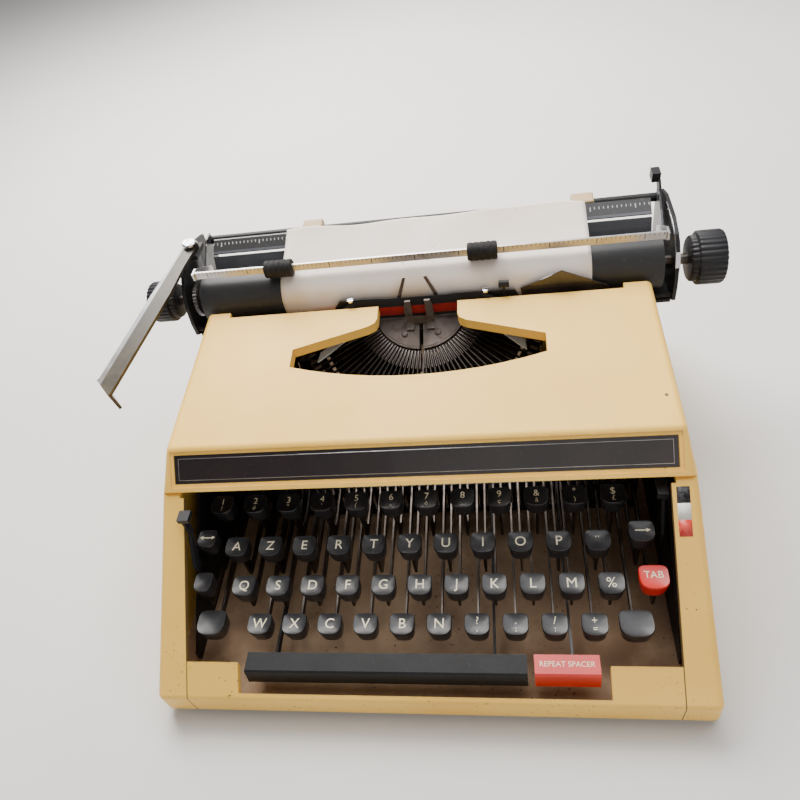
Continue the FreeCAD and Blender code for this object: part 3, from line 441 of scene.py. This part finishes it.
def spacer_red():
    """Red moulded bar on a dark steel arm."""
    p = Paint("spacer_red", 0.38, coat=0.15)
    p.base((206, 38, 28), (192, 30, 22), 40)
    p.over(p.both(p.edges(0.5), p.ramp(p.noise(300), 0.35, 0.6)), (238, 130, 112), 0.4)
    p.over(p.ramp(p.axis("Y"), -0.1164, -0.1158), (34, 31, 30))
    return p.relief(p.noise(1300, 2), 0.018).shine(p.noise(120), 0.3, 0.46).done()


RETURN_PIVOT = (-0.142, 0.098)  # x and y of the return lever's screw, in metres
RETURN_YAW = math.radians(-11.3)


def lever_metal():
    """Satin plated return lever with painted shade over its web, one edge left bright, and a yellowed broad end.
    """
    p = Paint("lever_metal", 0.36, metal=0.4)
    p.base((150, 150, 152), (132, 132, 135), 60)
    from_pivot = [p.math("SUBTRACT", p.axis(name), spot) for name, spot in zip("XY", RETURN_PIVOT)]
    across = p.math("ADD", p.math("MULTIPLY", from_pivot[0], math.cos(RETURN_YAW)),
                    p.math("MULTIPLY", from_pivot[1], math.sin(RETURN_YAW)))
    # Painted shade: darker colour over the lever's web, with a strip along one edge left bright.
    p.over(p.ramp(across, -0.0036, -0.0030), (56, 52, 46))
    p.over(p.ramp(p.noise(130, 5), 0.52, 0.74), (92, 82, 70), 0.3)
    p.over(p.both(p.ramp(p.noise(90, 4), 0.3, 0.6), p.ramp(p.axis("Y"), 0.03, 0.0)), (90, 78, 58), 0.5)
    p.relief(p.noise(60, 6, 0.7, (60, 1, 60)), 0.008)
    return p.shine(p.noise(90, 5), 0.24, 0.48).done()


def table_paint():
    """Grey lower paper table and a black top band with a white rule."""
    p = Paint("paper_table", 0.42, coat=0.2)
    low, high = node_box("paper_table")
    p.base((72, 74, 80), (60, 62, 68), 30)
    top = p.both(p.band("Y", 104, 113), p.band("Z", 121, 131))
    p.over(top, (20, 20, 22))
    rule = p.both(top, p.ticks("X", 2.54, 0.55), p.band("Y", 107.6, 108.9))
    longer = p.both(top, p.ticks("X", 25.4, 0.7), p.band("Y", 106.6, 108.9))
    p.over(p.math("MAXIMUM", rule, longer), (186, 184, 178), 0.85)
    p.over(p.ramp(p.noise(300, 4), 0.58, 0.75), (110, 100, 90), 0.25)
    p.relief(p.noise(800, 2), 0.02)
    return p.shine(p.noise(60), 0.3, 0.5).done()


def clear_smoke():
    """Smoked clear plastic of the card holder."""
    p = Paint("smoked_clear", 0.12)
    p.base((98, 88, 80), (84, 74, 68), 90)
    p.over(p.ramp(p.noise(260, 4), 0.56, 0.7), (84, 66, 50), 0.5)
    p.shader.inputs["Transmission Weight"].default_value = 0.75
    p.shader.inputs["IOR"].default_value = 1.49
    return p.relief(p.noise(500, 2), 0.01).done()


def floor_paint():
    """Plain pale studio floor."""
    p = Paint("studio_floor", 0.85)
    p.base((226, 224, 221), (222, 220, 217), 3)
    return p.relief(p.noise(120, 2), 0.05).done()


CREAM = casing_plastic()
TRAY = dusty_metal()
BLACK = moulded("black_plastic", (30, 30, 33), (38, 38, 41), 0.45)
LACQUER = moulded("frame_black", (26, 26, 28), (36, 34, 34), 0.42, 500, 0.02)
PANEL = moulded("panel_black", (32, 23, 23), (26, 19, 20), 0.34, 1200, 0.012, worn_strength=0.1, coat=0.12)
KEY = key_plastic("key_black", (34, 34, 37), (27, 27, 30), (128, 126, 124))
RED = key_plastic("key_red", (206, 34, 26), (188, 26, 20), (232, 110, 96))
BAR = moulded("bar_black", (27, 27, 29), (22, 22, 24), 0.55, 1400, 0.02)
LEGEND = moulded("legend_cream", (236, 226, 196), (222, 210, 178), 0.5, worn_strength=0.0)
SILVER = metal("steel", (182, 182, 184), (158, 158, 160), 0.28)
CHROME = metal("chrome", (216, 216, 220), (198, 198, 202), 0.14, stained=0.12)
DARK = metal("steel_dark", (92, 86, 82), (70, 64, 60), 0.34, stained=0.45, tint=(40, 28, 20))
# Painted sheen: the basket side plates get a pale matte grey instead of metal, so their light tone stands in for
# the bright reflection of the plated steel.
PALE_PLATE_SHEEN = moulded("pale_plate_painted_sheen", (214, 220, 222), (196, 204, 208), 0.36, 700, 0.015)
SLUG = metal("slug_steel", (176, 170, 162), (140, 132, 124), 0.3, stained=0.5, tint=(50, 40, 32))
SEGMENT = segment_metal()
RUBBER = platen_rubber()
SOFT = moulded("rubber", (26, 26, 27), (34, 33, 33), 0.7, 700, 0.06)
BRASS = metal("brass", (190, 158, 96), (160, 128, 74), 0.32)
TAN = moulded("tan_plastic", (196, 170, 132), (178, 150, 112), 0.4)
FELT = moulded("felt", (52, 44, 38), (34, 29, 26), 0.92, 1400, 0.25, worn_strength=0.0)
CLOTH = ribbon_cloth()
PAPER = paper_white()
WHITE = moulded("decal_white", (232, 228, 220), (222, 218, 208), 0.45, worn_strength=0.0)

LOOKS = {
    "base_plate": TRAY, "lower_body": CREAM, "rear_panel": BLACK, "side_frames_and_rails": LACQUER,
    "key_pivot_shaft": SILVER, "key_lever_comb": LACQUER, "space_bar": BAR, "repeat_spacer_key": spacer_red(),
    "striking_typebar": DARK, "type_rest_pad": FELT, "type_guide": SEGMENT, "spool_cups": LACQUER,
    "ribbon_vibrator": SEGMENT, "touch_control_lever": BLACK, "ribbon_colour_lever": BLACK,
    "escapement_wheel": BRASS, "mainspring_drum": SILVER, "bell": BRASS, "works_brackets": LACQUER,
    "card_guides": LACQUER, "card_guide_clear": clear_smoke(), "carriage_plate": LACQUER,
    "end_plates": LACQUER, "platen": RUBBER, "platen_core": DARK, "line_ratchet": SILVER,
    "feed_rollers_front": SOFT, "feed_rollers_rear": SOFT, "paper_table": table_paint(),
    "margin_rail": LACQUER, "margin_stop_left": TAN, "margin_stop_right": TAN, "bail_bar": bail_metal(),
    "return_lever": lever_metal(), "paper_release_lever": BLACK, "line_space_selector": SILVER,
    "carriage_release_levers": BLACK, "top_cover": CREAM, "name_panel": PANEL,
    "ribbon_spool_left": spool_finish(),
}
LOOKS["ribbon_spool_right"] = LOOKS["ribbon_spool_left"]
ROUNDING = {
    "lower_body": 0.9, "top_cover": 0.9, "space_bar": 0.7, "repeat_spacer_key": 0.9, "end_plates": 0.5,
    "return_lever": 0.6, "margin_stop_left": 0.0, "margin_stop_right": 0.0, "platen": 0.0,
    "escapement_wheel": 0.0, "line_ratchet": 0.0, "bell": 0.0, "name_panel": 0.15,
    "paper_release_lever": 0.6, "touch_control_lever": 0.6, "ribbon_colour_lever": 0.6,
    "base_plate": 0.3, "rear_panel": 0.3,
}


def dress_frame():
    """Materials and softened edges on the CAD nodes that stay."""
    for name, material in LOOKS.items():
        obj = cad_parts[name]
        obj.data.materials.clear()
        obj.data.materials.append(material)
        width = ROUNDING.get(name, 0.25)
        if width:
            soften(obj, width)


# ---------------------------------------------------------------- keyboard

CAP_SIDES = 40
BACK_POWER, FRONT_POWER = 5.0, 2.7  # how square the plan of a cap is at its back and its front


def shield(width, depth):
    """Plan of a cap: squarish at the back, round towards the typist."""
    ring = []
    for k in range(CAP_SIDES):
        turn = 2 * math.pi * k / CAP_SIDES
        c, s = math.cos(turn), math.sin(turn)
        power = 2 / (BACK_POWER if s > 0 else FRONT_POWER)
        ring.append((width / 2 * math.copysign(abs(c) ** power, c),
                     depth / 2 * math.copysign(abs(s) ** power, s)))
    return ring


CAP_LEVELS = (  # share of the height from the top down, then the share of the plan
    (1.0, 0.84), (0.97, 0.86), (0.55, 0.93), (0.20, 0.985), (0.10, 1.0), (0.04, 0.99), (0.0, 0.955),
)
DISH_SHARES = (0.90, 0.86, 0.78, 0.66, 0.52, 0.38, 0.24, 0.1)  # shares of the plan, from the rim inwards
DISH = 0.75
RIM = DISH_SHARES[0]
RIM_DROP = 0.12
INK = 0.07  # height of a legend above the dish


def dish_depth(share):
    """How far the dish lies below the rim at a share of the plan."""
    return DISH * (1 - min(share / RIM, 1.0) ** 2)


def dish_ring(width, depth, share):
    """A ring of the dish: the cap's plan at the rim, an ellipse towards the middle."""
    square = share / RIM
    ring = []
    for k, (u, v) in enumerate(shield(width, depth)):
        turn = 2 * math.pi * k / CAP_SIDES
        oval_u, oval_v = width / 2 * math.cos(turn), depth / 2 * math.sin(turn)
        ring.append((share * (u * square + oval_u * (1 - square)),
                     share * (v * square + oval_v * (1 - square))))
    return ring


def cap(solid, x, y, top, width, depth, tall):
    """One key cap with a tapered skirt, a rim and a dished top."""
    plan = shield(width, depth)
    rings = [[(x + u * s, y + v * s, top - tall * t) for u, v in plan] for t, s in CAP_LEVELS]
    for share in DISH_SHARES:
        z = top - RIM_DROP - dish_depth(share)
        rings.append([(x + u, y + v, z) for u, v in dish_ring(width, depth, share)])
    solid.loft(rings)


def on_dish(key, u, v):
    """A point just above the dish of a key (x, y, top, width, depth) at an offset from its middle."""
    x, y, top, width, depth = key
    sink = RIM_DROP + dish_depth(math.hypot(u * 2 / width, v * 2 / depth))
    return Vector((x + u, y + v, top - sink + INK))


def lettering(solid, text, tall, key, shift=0.0, flat=False):
    """Flat characters laid on the dish of a cap, or on a flat top."""
    curve = bpy.data.curves.new("letters", "FONT")
    curve.body = text
    curve.size = tall
    curve.align_x = "CENTER"
    curve.align_y = "CENTER"
    curve.resolution_u = 6
    holder = bpy.data.objects.new("letters", curve)
    mesh = bpy.data.meshes.new_from_object(holder)
    start = len(solid.points)
    for vertex in mesh.vertices:
        spot = on_dish(key, vertex.co.x, vertex.co.y + shift)
        if flat:
            spot.z = key[2] + 0.05
        solid.points.append(spot)
    solid.faces += [tuple(start + i for i in face.vertices) for face in mesh.polygons]
    bpy.data.objects.remove(holder)


def arrow(solid, key, shift, ends):
    """A slim arrow across a cap."""
    shapes = [[(-3.0, -0.28), (0.0, -0.28), (3.0, -0.28), (3.0, 0.28), (0.0, 0.28), (-3.0, 0.28)]]
    shapes += [[(way * 4.4, 0.0), (way * 2.4, 1.05), (way * 2.4, -1.05)] for way in ends]
    for outline in shapes:
        start = len(solid.points)
        solid.points += [on_dish(key, u, v + shift) + Vector((0, 0, 0.05)) for u, v in outline]
        solid.faces.append(tuple(range(start, start + len(outline))))


PIVOT = (47.0, 34.0)


def lever(solid, x, key_y, stem_top, level, thick=1.2):
    """A pressed steel key lever: round boss, long arm, upright stem."""
    y, z = PIVOT
    boss = [(y + 6.5 * math.cos(a), z + 6.5 * math.sin(a))
            for a in (math.radians(-100 + 25 * k) for k in range(9))]
    run = [(key_y + 9, level + 4), (key_y + 4.4, level + 4.6), (key_y + 3, level + 6), (key_y + 2.4, stem_top),
           (key_y - 2.4, stem_top), (key_y - 3, level + 2), (key_y - 2, level + 0.4), (key_y, level)]
    solid.slab(boss + run, x - thick / 2, x + thick / 2)


PITCH = 19.05
CAP = (12.8, 11.6, 9.5)
ROWS = {  # first cap's x, cap's y, top, lever level, letters, lower marks
    "one": (-110.4, -47.0, 64.7, 29.0, "123456789&°$", "!é\"'(-è_çà)£"),
    "two": (-100.7, -67.5, 54.4, 26.0, "AZERTYUIOP¨", ""),
    "three": (-95.7, -85.8, 44.85, 24.0, "QSDFGHJKLM%", ""),
    "four": (-86.1, -103.0, 36.0, 22.2, "WXCVBN?./+", "      ,;:="),
}
SIDE_KEYS = {  # x, y, top, width, depth, lever x, lever level
    "margin_release_key": (-115.6, -66, 61, 10.4, 10.5, -116.3, 28),
    "shift_lock_key": (-116.8, -86, 50, 10, 11, -119.5, 25),
    "left_shift_key": (-112, -103.4, 38.5, 15.4, 13.5, -112.4, 24.5),
    "backspace_key": (110.4, -66, 60, 12.6, 11.4, 110, 28),
    "tab_key": (114, -86, 51, 14, 12.5, 115.5, 25),
    "right_shift_key": (104.6, -103.5, 38.2, 16.4, 13.5, 104.6, 24.5),
}
BODY_OF_KEY = {
    "margin_release_key": "margin_release", "shift_lock_key": "shift_lock", "left_shift_key": "left_shift",
    "backspace_key": "backspace", "tab_key": "tabulator", "right_shift_key": "right_shift",
}


def keyboard():
    """Caps, legends and levers of the four rows and the six side keys."""
    for name, (first, y, top, level, letters, marks) in ROWS.items():
        caps, legends, levers = Solid(), Solid(), Solid()
        width, depth, tall = CAP
        for k, letter in enumerate(letters):
            x = first + PITCH * k
            cap(caps, x, y, top, width, depth, tall)
            lever(levers, x, y, top - tall + 0.5, level)
            mark = marks[k].strip() if marks else ""
            key = (x, y, top, width, depth)
            lettering(legends, letter, 5.2 if mark else 7.4, key, 1.9 if mark else 0.2)
            if mark:
                lettering(legends, mark, 4.2, key, -2.3)
        row = "key_row_" + name
        piece("caps_row_" + name, caps, row, KEY, replaced=[row], smooth=50)
        piece("levers_row_" + name, levers, row, DARK, bevel=0.12)
        piece("legends_row_" + name, legends, row, LEGEND)
    for name, (x, y, top, width, depth, lever_x, level) in SIDE_KEYS.items():
        caps, levers = Solid(), Solid()
        red = name == "tab_key"
        cap(caps, x, y, top, width, depth, 9.5)
        lever(levers, lever_x, y, top - 9, level)
        body = BODY_OF_KEY[name]
        piece(name + "_cap", caps, body, RED if red else KEY,
              replaced=[name], smooth=50)
        piece(name + "_lever", levers, body, DARK, bevel=0.12)
    marks = Solid()
    lettering(marks, "TAB", 5.0, SIDE_KEYS["tab_key"][:5], 1.2)
    piece("tab_legend", marks, "tabulator", LEGEND)
    for name, ends in (("margin_release_key", (-1, 1)), ("backspace_key", (1,))):
        marks = Solid()
        arrow(marks, SIDE_KEYS[name][:5], 0.6, ends)
        piece(name + "_arrow", marks, BODY_OF_KEY[name], LEGEND)
    marks = Solid()
    lettering(marks, "REPEAT SPACER", 3.7, (70.6, -120.8, 31.0, 30, 12), flat=True)
    piece("repeat_spacer_legend", marks, "repeat_spacer", LEGEND)


# ---------------------------------------------------------------- type basket

BASKET = Vector((0, 68.7, 98.9))
TILT = math.radians(25)
TYPEBARS, FAN_SPREAD, SEGMENT_RADIUS = 43, math.radians(150), 28.5
STEP = FAN_SPREAD / (TYPEBARS - 1)
COMB_REACH = math.radians(62)  # the comb stops where the feed rollers pass over it


def in_basket(turn=0.0):
    """From a bar drawn straight ahead to its place in the tilted fan."""
    return Matrix.Translation(BASKET) @ Matrix.Rotation(TILT, 4, "X") @ Matrix.Rotation(turn, 4, "Z")


def basket():
    """The slotted segment and the fan of typebars with their slugs."""
    segment = Solid()
    for way in (-1, 1):
        turns = [math.radians(2.4 + 3.88 * k) for k in range(21)][::way]
        disc = [(way * math.sin(a), -math.cos(a)) for a in turns]
        for z0, z1, reach in ((-9, -4.2, SEGMENT_RADIUS), (-4.2, -0.3, 27.4), (-0.3, 0.0, 26.9)):
            half = [(x * reach, y * reach) for x, y in disc] + [(way * 0.95, -0.2)]
            segment.loft([[(x, y, z) for x, y in half] for z in (z0, z1)])
        rim = [(28.2, -0.9), (28.2, 0.5), (27.2, 0.5), (27.2, -0.9)]
        segment.loft([[(r * x, r * y, z) for r, z in rim] for x, y in disc])
        segment.turned([(0, 1.9), (0.7, 1.9), (0.95, 1.5)], (way * 10, -18, 0), "Z", sides=24)
    segment.moved(in_basket())
    segment.block((-125.4, 58.4, 76.2), (125.4, 65.8, 81.8))
    piece("segment", segment, "chassis", SEGMENT, replaced=["type_segment"], bevel=0.12)
    comb = Solid()
    for k in range(TYPEBARS + 1):
        middle = (k - TYPEBARS / 2) * STEP
        if abs(middle) > COMB_REACH:
            continue
        half = STEP * 0.13
        fin = [(r * math.sin(middle + side * half), -r * math.cos(middle + side * half))
               for r, side in ((28.6, -1), (28.6, 1), (40, 1), (40, -1))]
        comb.loft([[(x, y, z) for x, y in fin] for z in (-8, -1.2)])
    comb.moved(in_basket())
    piece("segment_comb", comb, "chassis", SEGMENT, bevel=0.08)
    pan = Solid()
    for way in (-1, 1):
        turns = [math.radians(3 + 67 * k / 16) for k in range(17)][::way]
        ring = [(way * 28.8 * math.sin(a), -28.8 * math.cos(a)) for a in turns]
        ring += [(way * 64 * math.sin(a), -64 * math.cos(a)) for a in turns[::-1]]
        pan.loft([[(x, y, z) for x, y in ring] for z in (-10.0, -9.5)])
    pan.moved(in_basket())
    piece("basket_pan", pan, "chassis", FELT)

    bars, slugs = Solid(), Solid()
    for k in range(TYPEBARS):
        turn = (k - (TYPEBARS - 1) / 2) * STEP
        if abs(turn) < STEP / 2:
            continue
        place = in_basket(turn)
        start = len(bars.points)
        side = [(-28.8, -4.2), (-28.8, -0.6), (-30.0, -0.1), (-40.0, -0.35), (-60.0, -0.1), (-70.4, -0.2),
                (-70.4, -2.6), (-60.0, -3.2), (-40.0, -3.9)]
        bars.slab(side, -0.42, 0.42).moved(place, start)
        start = len(slugs.points)
        slugs.loft([[(x, y, z) for x, y in ((-a, -75.6 + b), (a, -75.6 + b), (a, -70.2), (-a, -70.2))]
                    for z, a, b in ((-6.9, 0.9, 0.8), (-6.2, 1.15, 0.1), (-0.9, 1.15, 0.0), (0.0, 0.8, 0.7))])
        for rise in (-5.2, -2.4):
            slugs.block((-0.7, -75.95, rise - 0.8), (0.7, -75.4, rise + 0.8))
        slugs.moved(place, start)
    piece("typebar_fan", bars, "chassis", DARK, replaced=["typebars"], bevel=0.1)
    piece("type_slugs", slugs, "chassis", SLUG, bevel=0.08)

    plates = Solid()
    for way in (-1, 1):
        flat = [(way * 61, 33.0), (way * 57.5, 36.5), (way * 45.5, 50.5), (way * 49.5, 52.5), (way * 60.5, 41.0)]
        plates.loft([[(x, y, z) for x, y in (flat if way > 0 else flat[::-1])] for z in (90.5, 91.5)])
    piece("basket_side_plates", plates, "chassis", PALE_PLATE_SHEEN, bevel=0.2)


def ribbon():
    """The ribbon from spool to spool, round the posts and across the print line."""
    low, high = node_box("ribbon")
    y = (low.y + high.y) / 2
    tall = high.z - low.z
    half = [(0, y, 0.0), (20, y, 0.0), (37.4, y, 0.0), (38.4, y - 1.2, 0.0), (39.5, y - 1.6, -0.3),
            (41, y - 1.4, -1.0), (45, y - 1.1, -3.5), (52, y - 1.3, -7.0), (60, y - 2.2, -9.8),
            (66, y - 6.5, -11.5), (74, y - 17.0, -14.0), (82, y - 27.5, -16.6)]
    path = [(-x, v, w) for x, v, w in half[:0:-1]] + half
    band = Solid()
    rings = [[(x, v, low.z + w), (x, v, low.z + w + tall * 0.5), (x, v, low.z + w + tall)] for x, v, w in path]
    band.loft(rings, caps=False, closed=False)
    made = piece("ribbon_band", band, "chassis", CLOTH, replaced=["ribbon"], thick=0.12)
    pins = Solid()
    for x in (-39.5, 39.5):
        pins.turned([(112.9, 1.3), (113.2, 1.9), (114.5, 1.9), (114.7, 1.2)], (x, 60.2, 0), "Z", sides=24)
    piece("ribbon_post_heads", pins, "chassis", CHROME, smooth=40)


# ---------------------------------------------------------------- casing details

COVER_FRONT, COVER_RIDGE = (-52.6, 85.7), (-35.2, 101.7)  # y and z at the foot and the top of the front
RAIL_FRONT, RAIL_BACK = (-137.0, 20.3), (-53.4, 83.8)  # y and z at the ends of the sloping surround


def panel_trim():
    """A thin silver line inside the edge of the blank name panel."""
    low, high = node_box("name_panel")
    lean = math.atan2(COVER_RIDGE[1] - COVER_FRONT[1], COVER_RIDGE[0] - COVER_FRONT[0])
    up = Vector((0, math.cos(lean), math.sin(lean)))
    out = Vector((0, -math.sin(lean), math.cos(lean)))
    centre = Vector((0, (low.y + high.y) / 2, (low.z + high.z) / 2)) + out * 0.48
    half_x, half_y = high.x - 2.0, 5.9
    trim = Solid()
    rings = []
    for grow in (0.0, 0.3):
        flat = [(-half_x + grow, -half_y + grow), (half_x - grow, -half_y + grow),
                (half_x - grow, half_y - grow), (-half_x + grow, half_y - grow)]
        rings.append([centre + Vector((x, 0, 0)) + up * v for x, v in flat])
    trim.loft(rings, caps=False)
    piece("panel_trim", trim, "cover", SILVER, thick=0.04)


def on_rail(y):
    """Height of the sloping surround at a y."""
    share = (y - RAIL_FRONT[0]) / (RAIL_BACK[0] - RAIL_FRONT[0])
    return RAIL_FRONT[1] + (RAIL_BACK[1] - RAIL_FRONT[1]) * share


def colour_marks():
    """Three printed squares beside the colour lever."""
    for k, (name, material) in enumerate((("black", BLACK), ("white", WHITE), ("red", RED))):
        front, back = -62.0 - 6.2 * k, -55.8 - 6.2 * k
        square = Solid()
        square.loft([[(x, y, on_rail(y) + 0.05) for y in (front, back)] for x in (125.4, 131.4)],
                    caps=False, closed=False)
        piece("colour_mark_" + name, square, "chassis", material, thick=0.05)


def feet():
    """Moulded rubber feet with a washer recess."""
    solid = Solid()
    low, high = node_box("rubber_feet")
    profile = [(0.0, 2.4), (0.0, 6.6), (0.4, 8.2), (1.4, 8.9), (high.z - 1.2, 8.4), (high.z - 0.9, 7.6),
               (high.z, 7.6)]
    for x in (-112, 112):
        for y in (-117, 119):
            solid.turned(profile, (x, y, 0), "Z", sides=48)
    piece("moulded_feet", solid, "chassis", SOFT, replaced=["rubber_feet"], smooth=40)


# ---------------------------------------------------------------- carriage details

PLATEN_AXIS = (79.5, 109.0)  # y and z of the platen's shaft


def knobs():
    """Ribbed platen knobs with a dished end."""
    low, high = node_box("platen_knobs")
    y, z = PLATEN_AXIS
    solid = Solid()
    for way, end, inner, radius in ((-1, low.x, low.x + 17.5, 13.0), (1, high.x, high.x - 18.5, 15.2)):
        run = abs(end - inner)
        profile = [(0, 3.1), (0, radius - 3.4), (0.8, radius - 2.4), (3.4, radius - 2.0), (4.2, radius - 0.3),
                   (5.0, radius), (run - 1.8, radius), (run - 0.5, radius - 0.7), (run, radius - 2.2),
                   (run - 0.6, radius - 4.2), (run - 1.0, 2.0)]
        spun = [(inner + way * along, r) for along, r in profile]
        solid.turned(spun, (0, y, z), "X", sides=168, flutes=28, depth=0.55)
    piece("ribbed_knobs", solid, "platen", BLACK, replaced=["platen_knobs"], smooth=40)


def bail_rollers():
    """Rubber rollers with pressed-in grooves."""
    for side in ("left", "right"):
        low, high = node_box("bail_roller_" + side)
        y, z = (low.y + high.y) / 2, (low.z + high.z) / 2
        radius = (high.z - low.z) / 2
        x0, x1 = low.x, high.x
        solid = Solid()
        profile = [(x0, 2.5), (x0, radius - 0.9), (x0 + 0.5, radius - 0.15), (x0 + 1.6, radius)]
        for k in range(1, 5):
            spot = x0 + (x1 - x0) * k / 5
            profile += [(spot - 0.5, radius), (spot - 0.2, radius - 0.3), (spot + 0.2, radius - 0.3),
                        (spot + 0.5, radius)]
        profile += [(x1 - 1.6, radius), (x1 - 0.5, radius - 0.15), (x1, radius - 0.9), (x1, 2.5)]
        solid.turned(profile, (0, y, z), "X", sides=56)
        piece("grooved_roller_" + side, solid, side + "_bail_roller", SOFT,
              replaced=["bail_roller_" + side], smooth=40)


def lever_screw():
    """A slotted pan head on the return lever's pivot."""
    low, high = node_box("return_lever_screw")
    x, y = (low.x + high.x) / 2, (low.y + high.y) / 2
    solid = Solid()
    solid.turned([(low.z, 1.9), (high.z - 2, 1.9), (high.z - 2, 4.6), (high.z - 0.8, 4.5), (high.z - 0.35, 3.9),
                  (high.z - 0.3, 0.4)], (x, y, 0), "Z", sides=40)
    for way in (-1, 1):
        arc = [(x + way * (0.55 + 3.3 * math.cos(a)), y + 3.3 * math.sin(a))
               for a in (math.radians(-80 + 20 * k) for k in range(9))]
        solid.loft([[(u, v, w) for u, v in arc] for w in (high.z - 0.7, high.z)])
    piece("slotted_screw", solid, "carriage", CHROME, replaced=["return_lever_screw"], bevel=0.1)


def plate_trim():
    """A bright strip along the top edge of the right end plate, and plate screws."""
    low, high = node_box("end_plates")
    solid = Solid()
    arc = [(66.9, 113.0), (70.6, 120.4), (77.4, 126.4), (88.0, 129.8), (106.0, 130.0)]
    edge = [(y, z) for y, z in arc] + [(y + 0.5, z - 2.0) for y, z in arc[::-1]]
    solid.slab(edge, high.x - 2.2, high.x + 0.35)
    for x0, way in ((high.x, 1), (low.x, -1)):
        for y, z in ((104.0, 122.0), (88.5, 96.5)):
            solid.turned([(x0, 2.4), (x0 + way * 0.6, 2.3), (x0 + way * 1.0, 1.4)], (0, y, z), "X", sides=24)
    piece("end_plate_trim", solid, "carriage", CHROME, bevel=0.1)


def paper():
    """The sheet: round the front of the platen, under the bail, and back over the table."""
    low, high = node_box("paper_sheet")
    (y, z), radius = PLATEN_AXIS, 15.42
    end = (high.y - y, high.z - 0.1 - z)
    reach = math.hypot(*end)
    touch = math.atan2(end[1], end[0]) + math.acos(radius / reach)
    start = math.radians(238)
    straight = math.sqrt(reach ** 2 - radius ** 2)
    wrapped = radius * (start - touch)
    along_count, across_count = 60, 72
    width = high.x - low.x
    solid = Solid()
    rings = []
    for k in range(along_count + 1):
        s = (wrapped + straight) * k / along_count
        ring = []
        for i in range(across_count + 1):
            x = low.x + width * i / across_count
            share = i / across_count
            free = max(0.0, (s - wrapped - 6.0) / (straight - 6.0))
            lift = free ** 2 * (0.9 + 0.9 * math.sin(9.4 * share + 0.6) + 0.5 * math.sin(21 * share))
            corner = 22.4 * max(0, share - 0.93)
            edge = free ** 3 * (-2.6 + 2.4 * share + 0.7 * math.sin(15 * share + 1.0) - corner)
            if s <= wrapped:
                turn = start - s / radius
                puff = 0.05 * math.sin(math.pi * k / along_count) * (1 + math.sin(11 * share))
                spot = ((radius + puff) * math.cos(turn), (radius + puff) * math.sin(turn))
            else:
                run = s - wrapped + edge
                spot = (radius * math.cos(touch) + run * math.sin(touch),
                        radius * math.sin(touch) - run * math.cos(touch))
                spot = (spot[0] + lift * math.cos(touch), spot[1] + lift * math.sin(touch))
            ring.append((x, y + spot[0], z + spot[1]))
        rings.append(ring)
    solid.loft(rings, caps=False, closed=False)
    piece("typing_paper", solid, "carriage", PAPER, replaced=["paper_sheet"], thick=0.12, smooth=80)


# ---------------------------------------------------------------- studio

LIGHTS = (  # name, place in metres, watts, side in metres, colour
    ("window", (-0.25, 0.62, 0.78), 27.0, 0.7, (1.0, 0.97, 0.92)),
    ("room", (0.3, -0.9, 0.6), 3.5, 1.0, (1.0, 0.95, 0.88)),
    ("ceiling", (0.35, 0.4, 1.3), 14.0, 1.0, (0.98, 0.98, 1.0)),
)
LIT_POINT = Vector((0, 0, 0.05))
CAMERA_PLACE = (0.0524, -0.2461, 0.3669)
CAMERA_TURN = (14.055, 47.389, -13.499)  # yaw to the left, pitch down and roll, in degrees
FLOOR_REACH = 3.0
SKY, SKY_STRENGTH = (0.92, 0.93, 0.95, 1), 0.27


def studio():
    """Pale floor, soft lights and the camera."""
    floor_mesh = bpy.data.meshes.new("floor")
    corners = [(FLOOR_REACH * x, FLOOR_REACH * y, 0) for x, y in ((-1, -1), (1, -1), (1, 1), (-1, 1))]
    floor_mesh.from_pydata(corners, [], [(0, 1, 2, 3)])
    floor = bpy.data.objects.new("floor", floor_mesh)
    scene.collection.objects.link(floor)
    floor_mesh.materials.append(floor_paint())

    world = bpy.data.worlds.new("studio")
    scene.world = world
    world.use_nodes = True
    background = world.node_tree.nodes["Background"]
    background.inputs["Color"].default_value = SKY
    background.inputs["Strength"].default_value = SKY_STRENGTH
    for name, place, energy, size, colour in LIGHTS:
        light = bpy.data.lights.new(name, "AREA")
        light.energy = energy
        light.size = size
        light.color = colour
        lamp = bpy.data.objects.new(name, light)
        scene.collection.objects.link(lamp)
        lamp.location = place
        lamp.rotation_euler = (LIT_POINT - Vector(place)).to_track_quat("-Z", "Y").to_euler()

    lens = bpy.data.cameras.new("camera")
    lens.sensor_width = 36
    lens.lens = 30.8
    lens.clip_start = 0.01
    camera = bpy.data.objects.new("camera", lens)
    scene.collection.objects.link(camera)
    scene.camera = camera
    yaw, pitch, roll = (math.radians(a) for a in CAMERA_TURN)
    level = Vector((math.cos(yaw), math.sin(yaw), 0))
    ahead = Vector((-math.sin(yaw), math.cos(yaw), 0))
    down = Vector((0, 0, -1))
    look = ahead * math.cos(pitch) + down * math.sin(pitch)
    top = ahead * math.sin(pitch) - down * math.cos(pitch)
    right = level * math.cos(roll) + top * math.sin(roll)
    top = top * math.cos(roll) - level * math.sin(roll)
    turned = Matrix((right, top, -look)).transposed().to_4x4()
    camera.matrix_world = Matrix.Translation(CAMERA_PLACE) @ turned


dress_frame()
keyboard()
basket()
ribbon()
panel_trim()
colour_marks()
feet()
knobs()
bail_rollers()
lever_screw()
plate_trim()
paper()
studio()
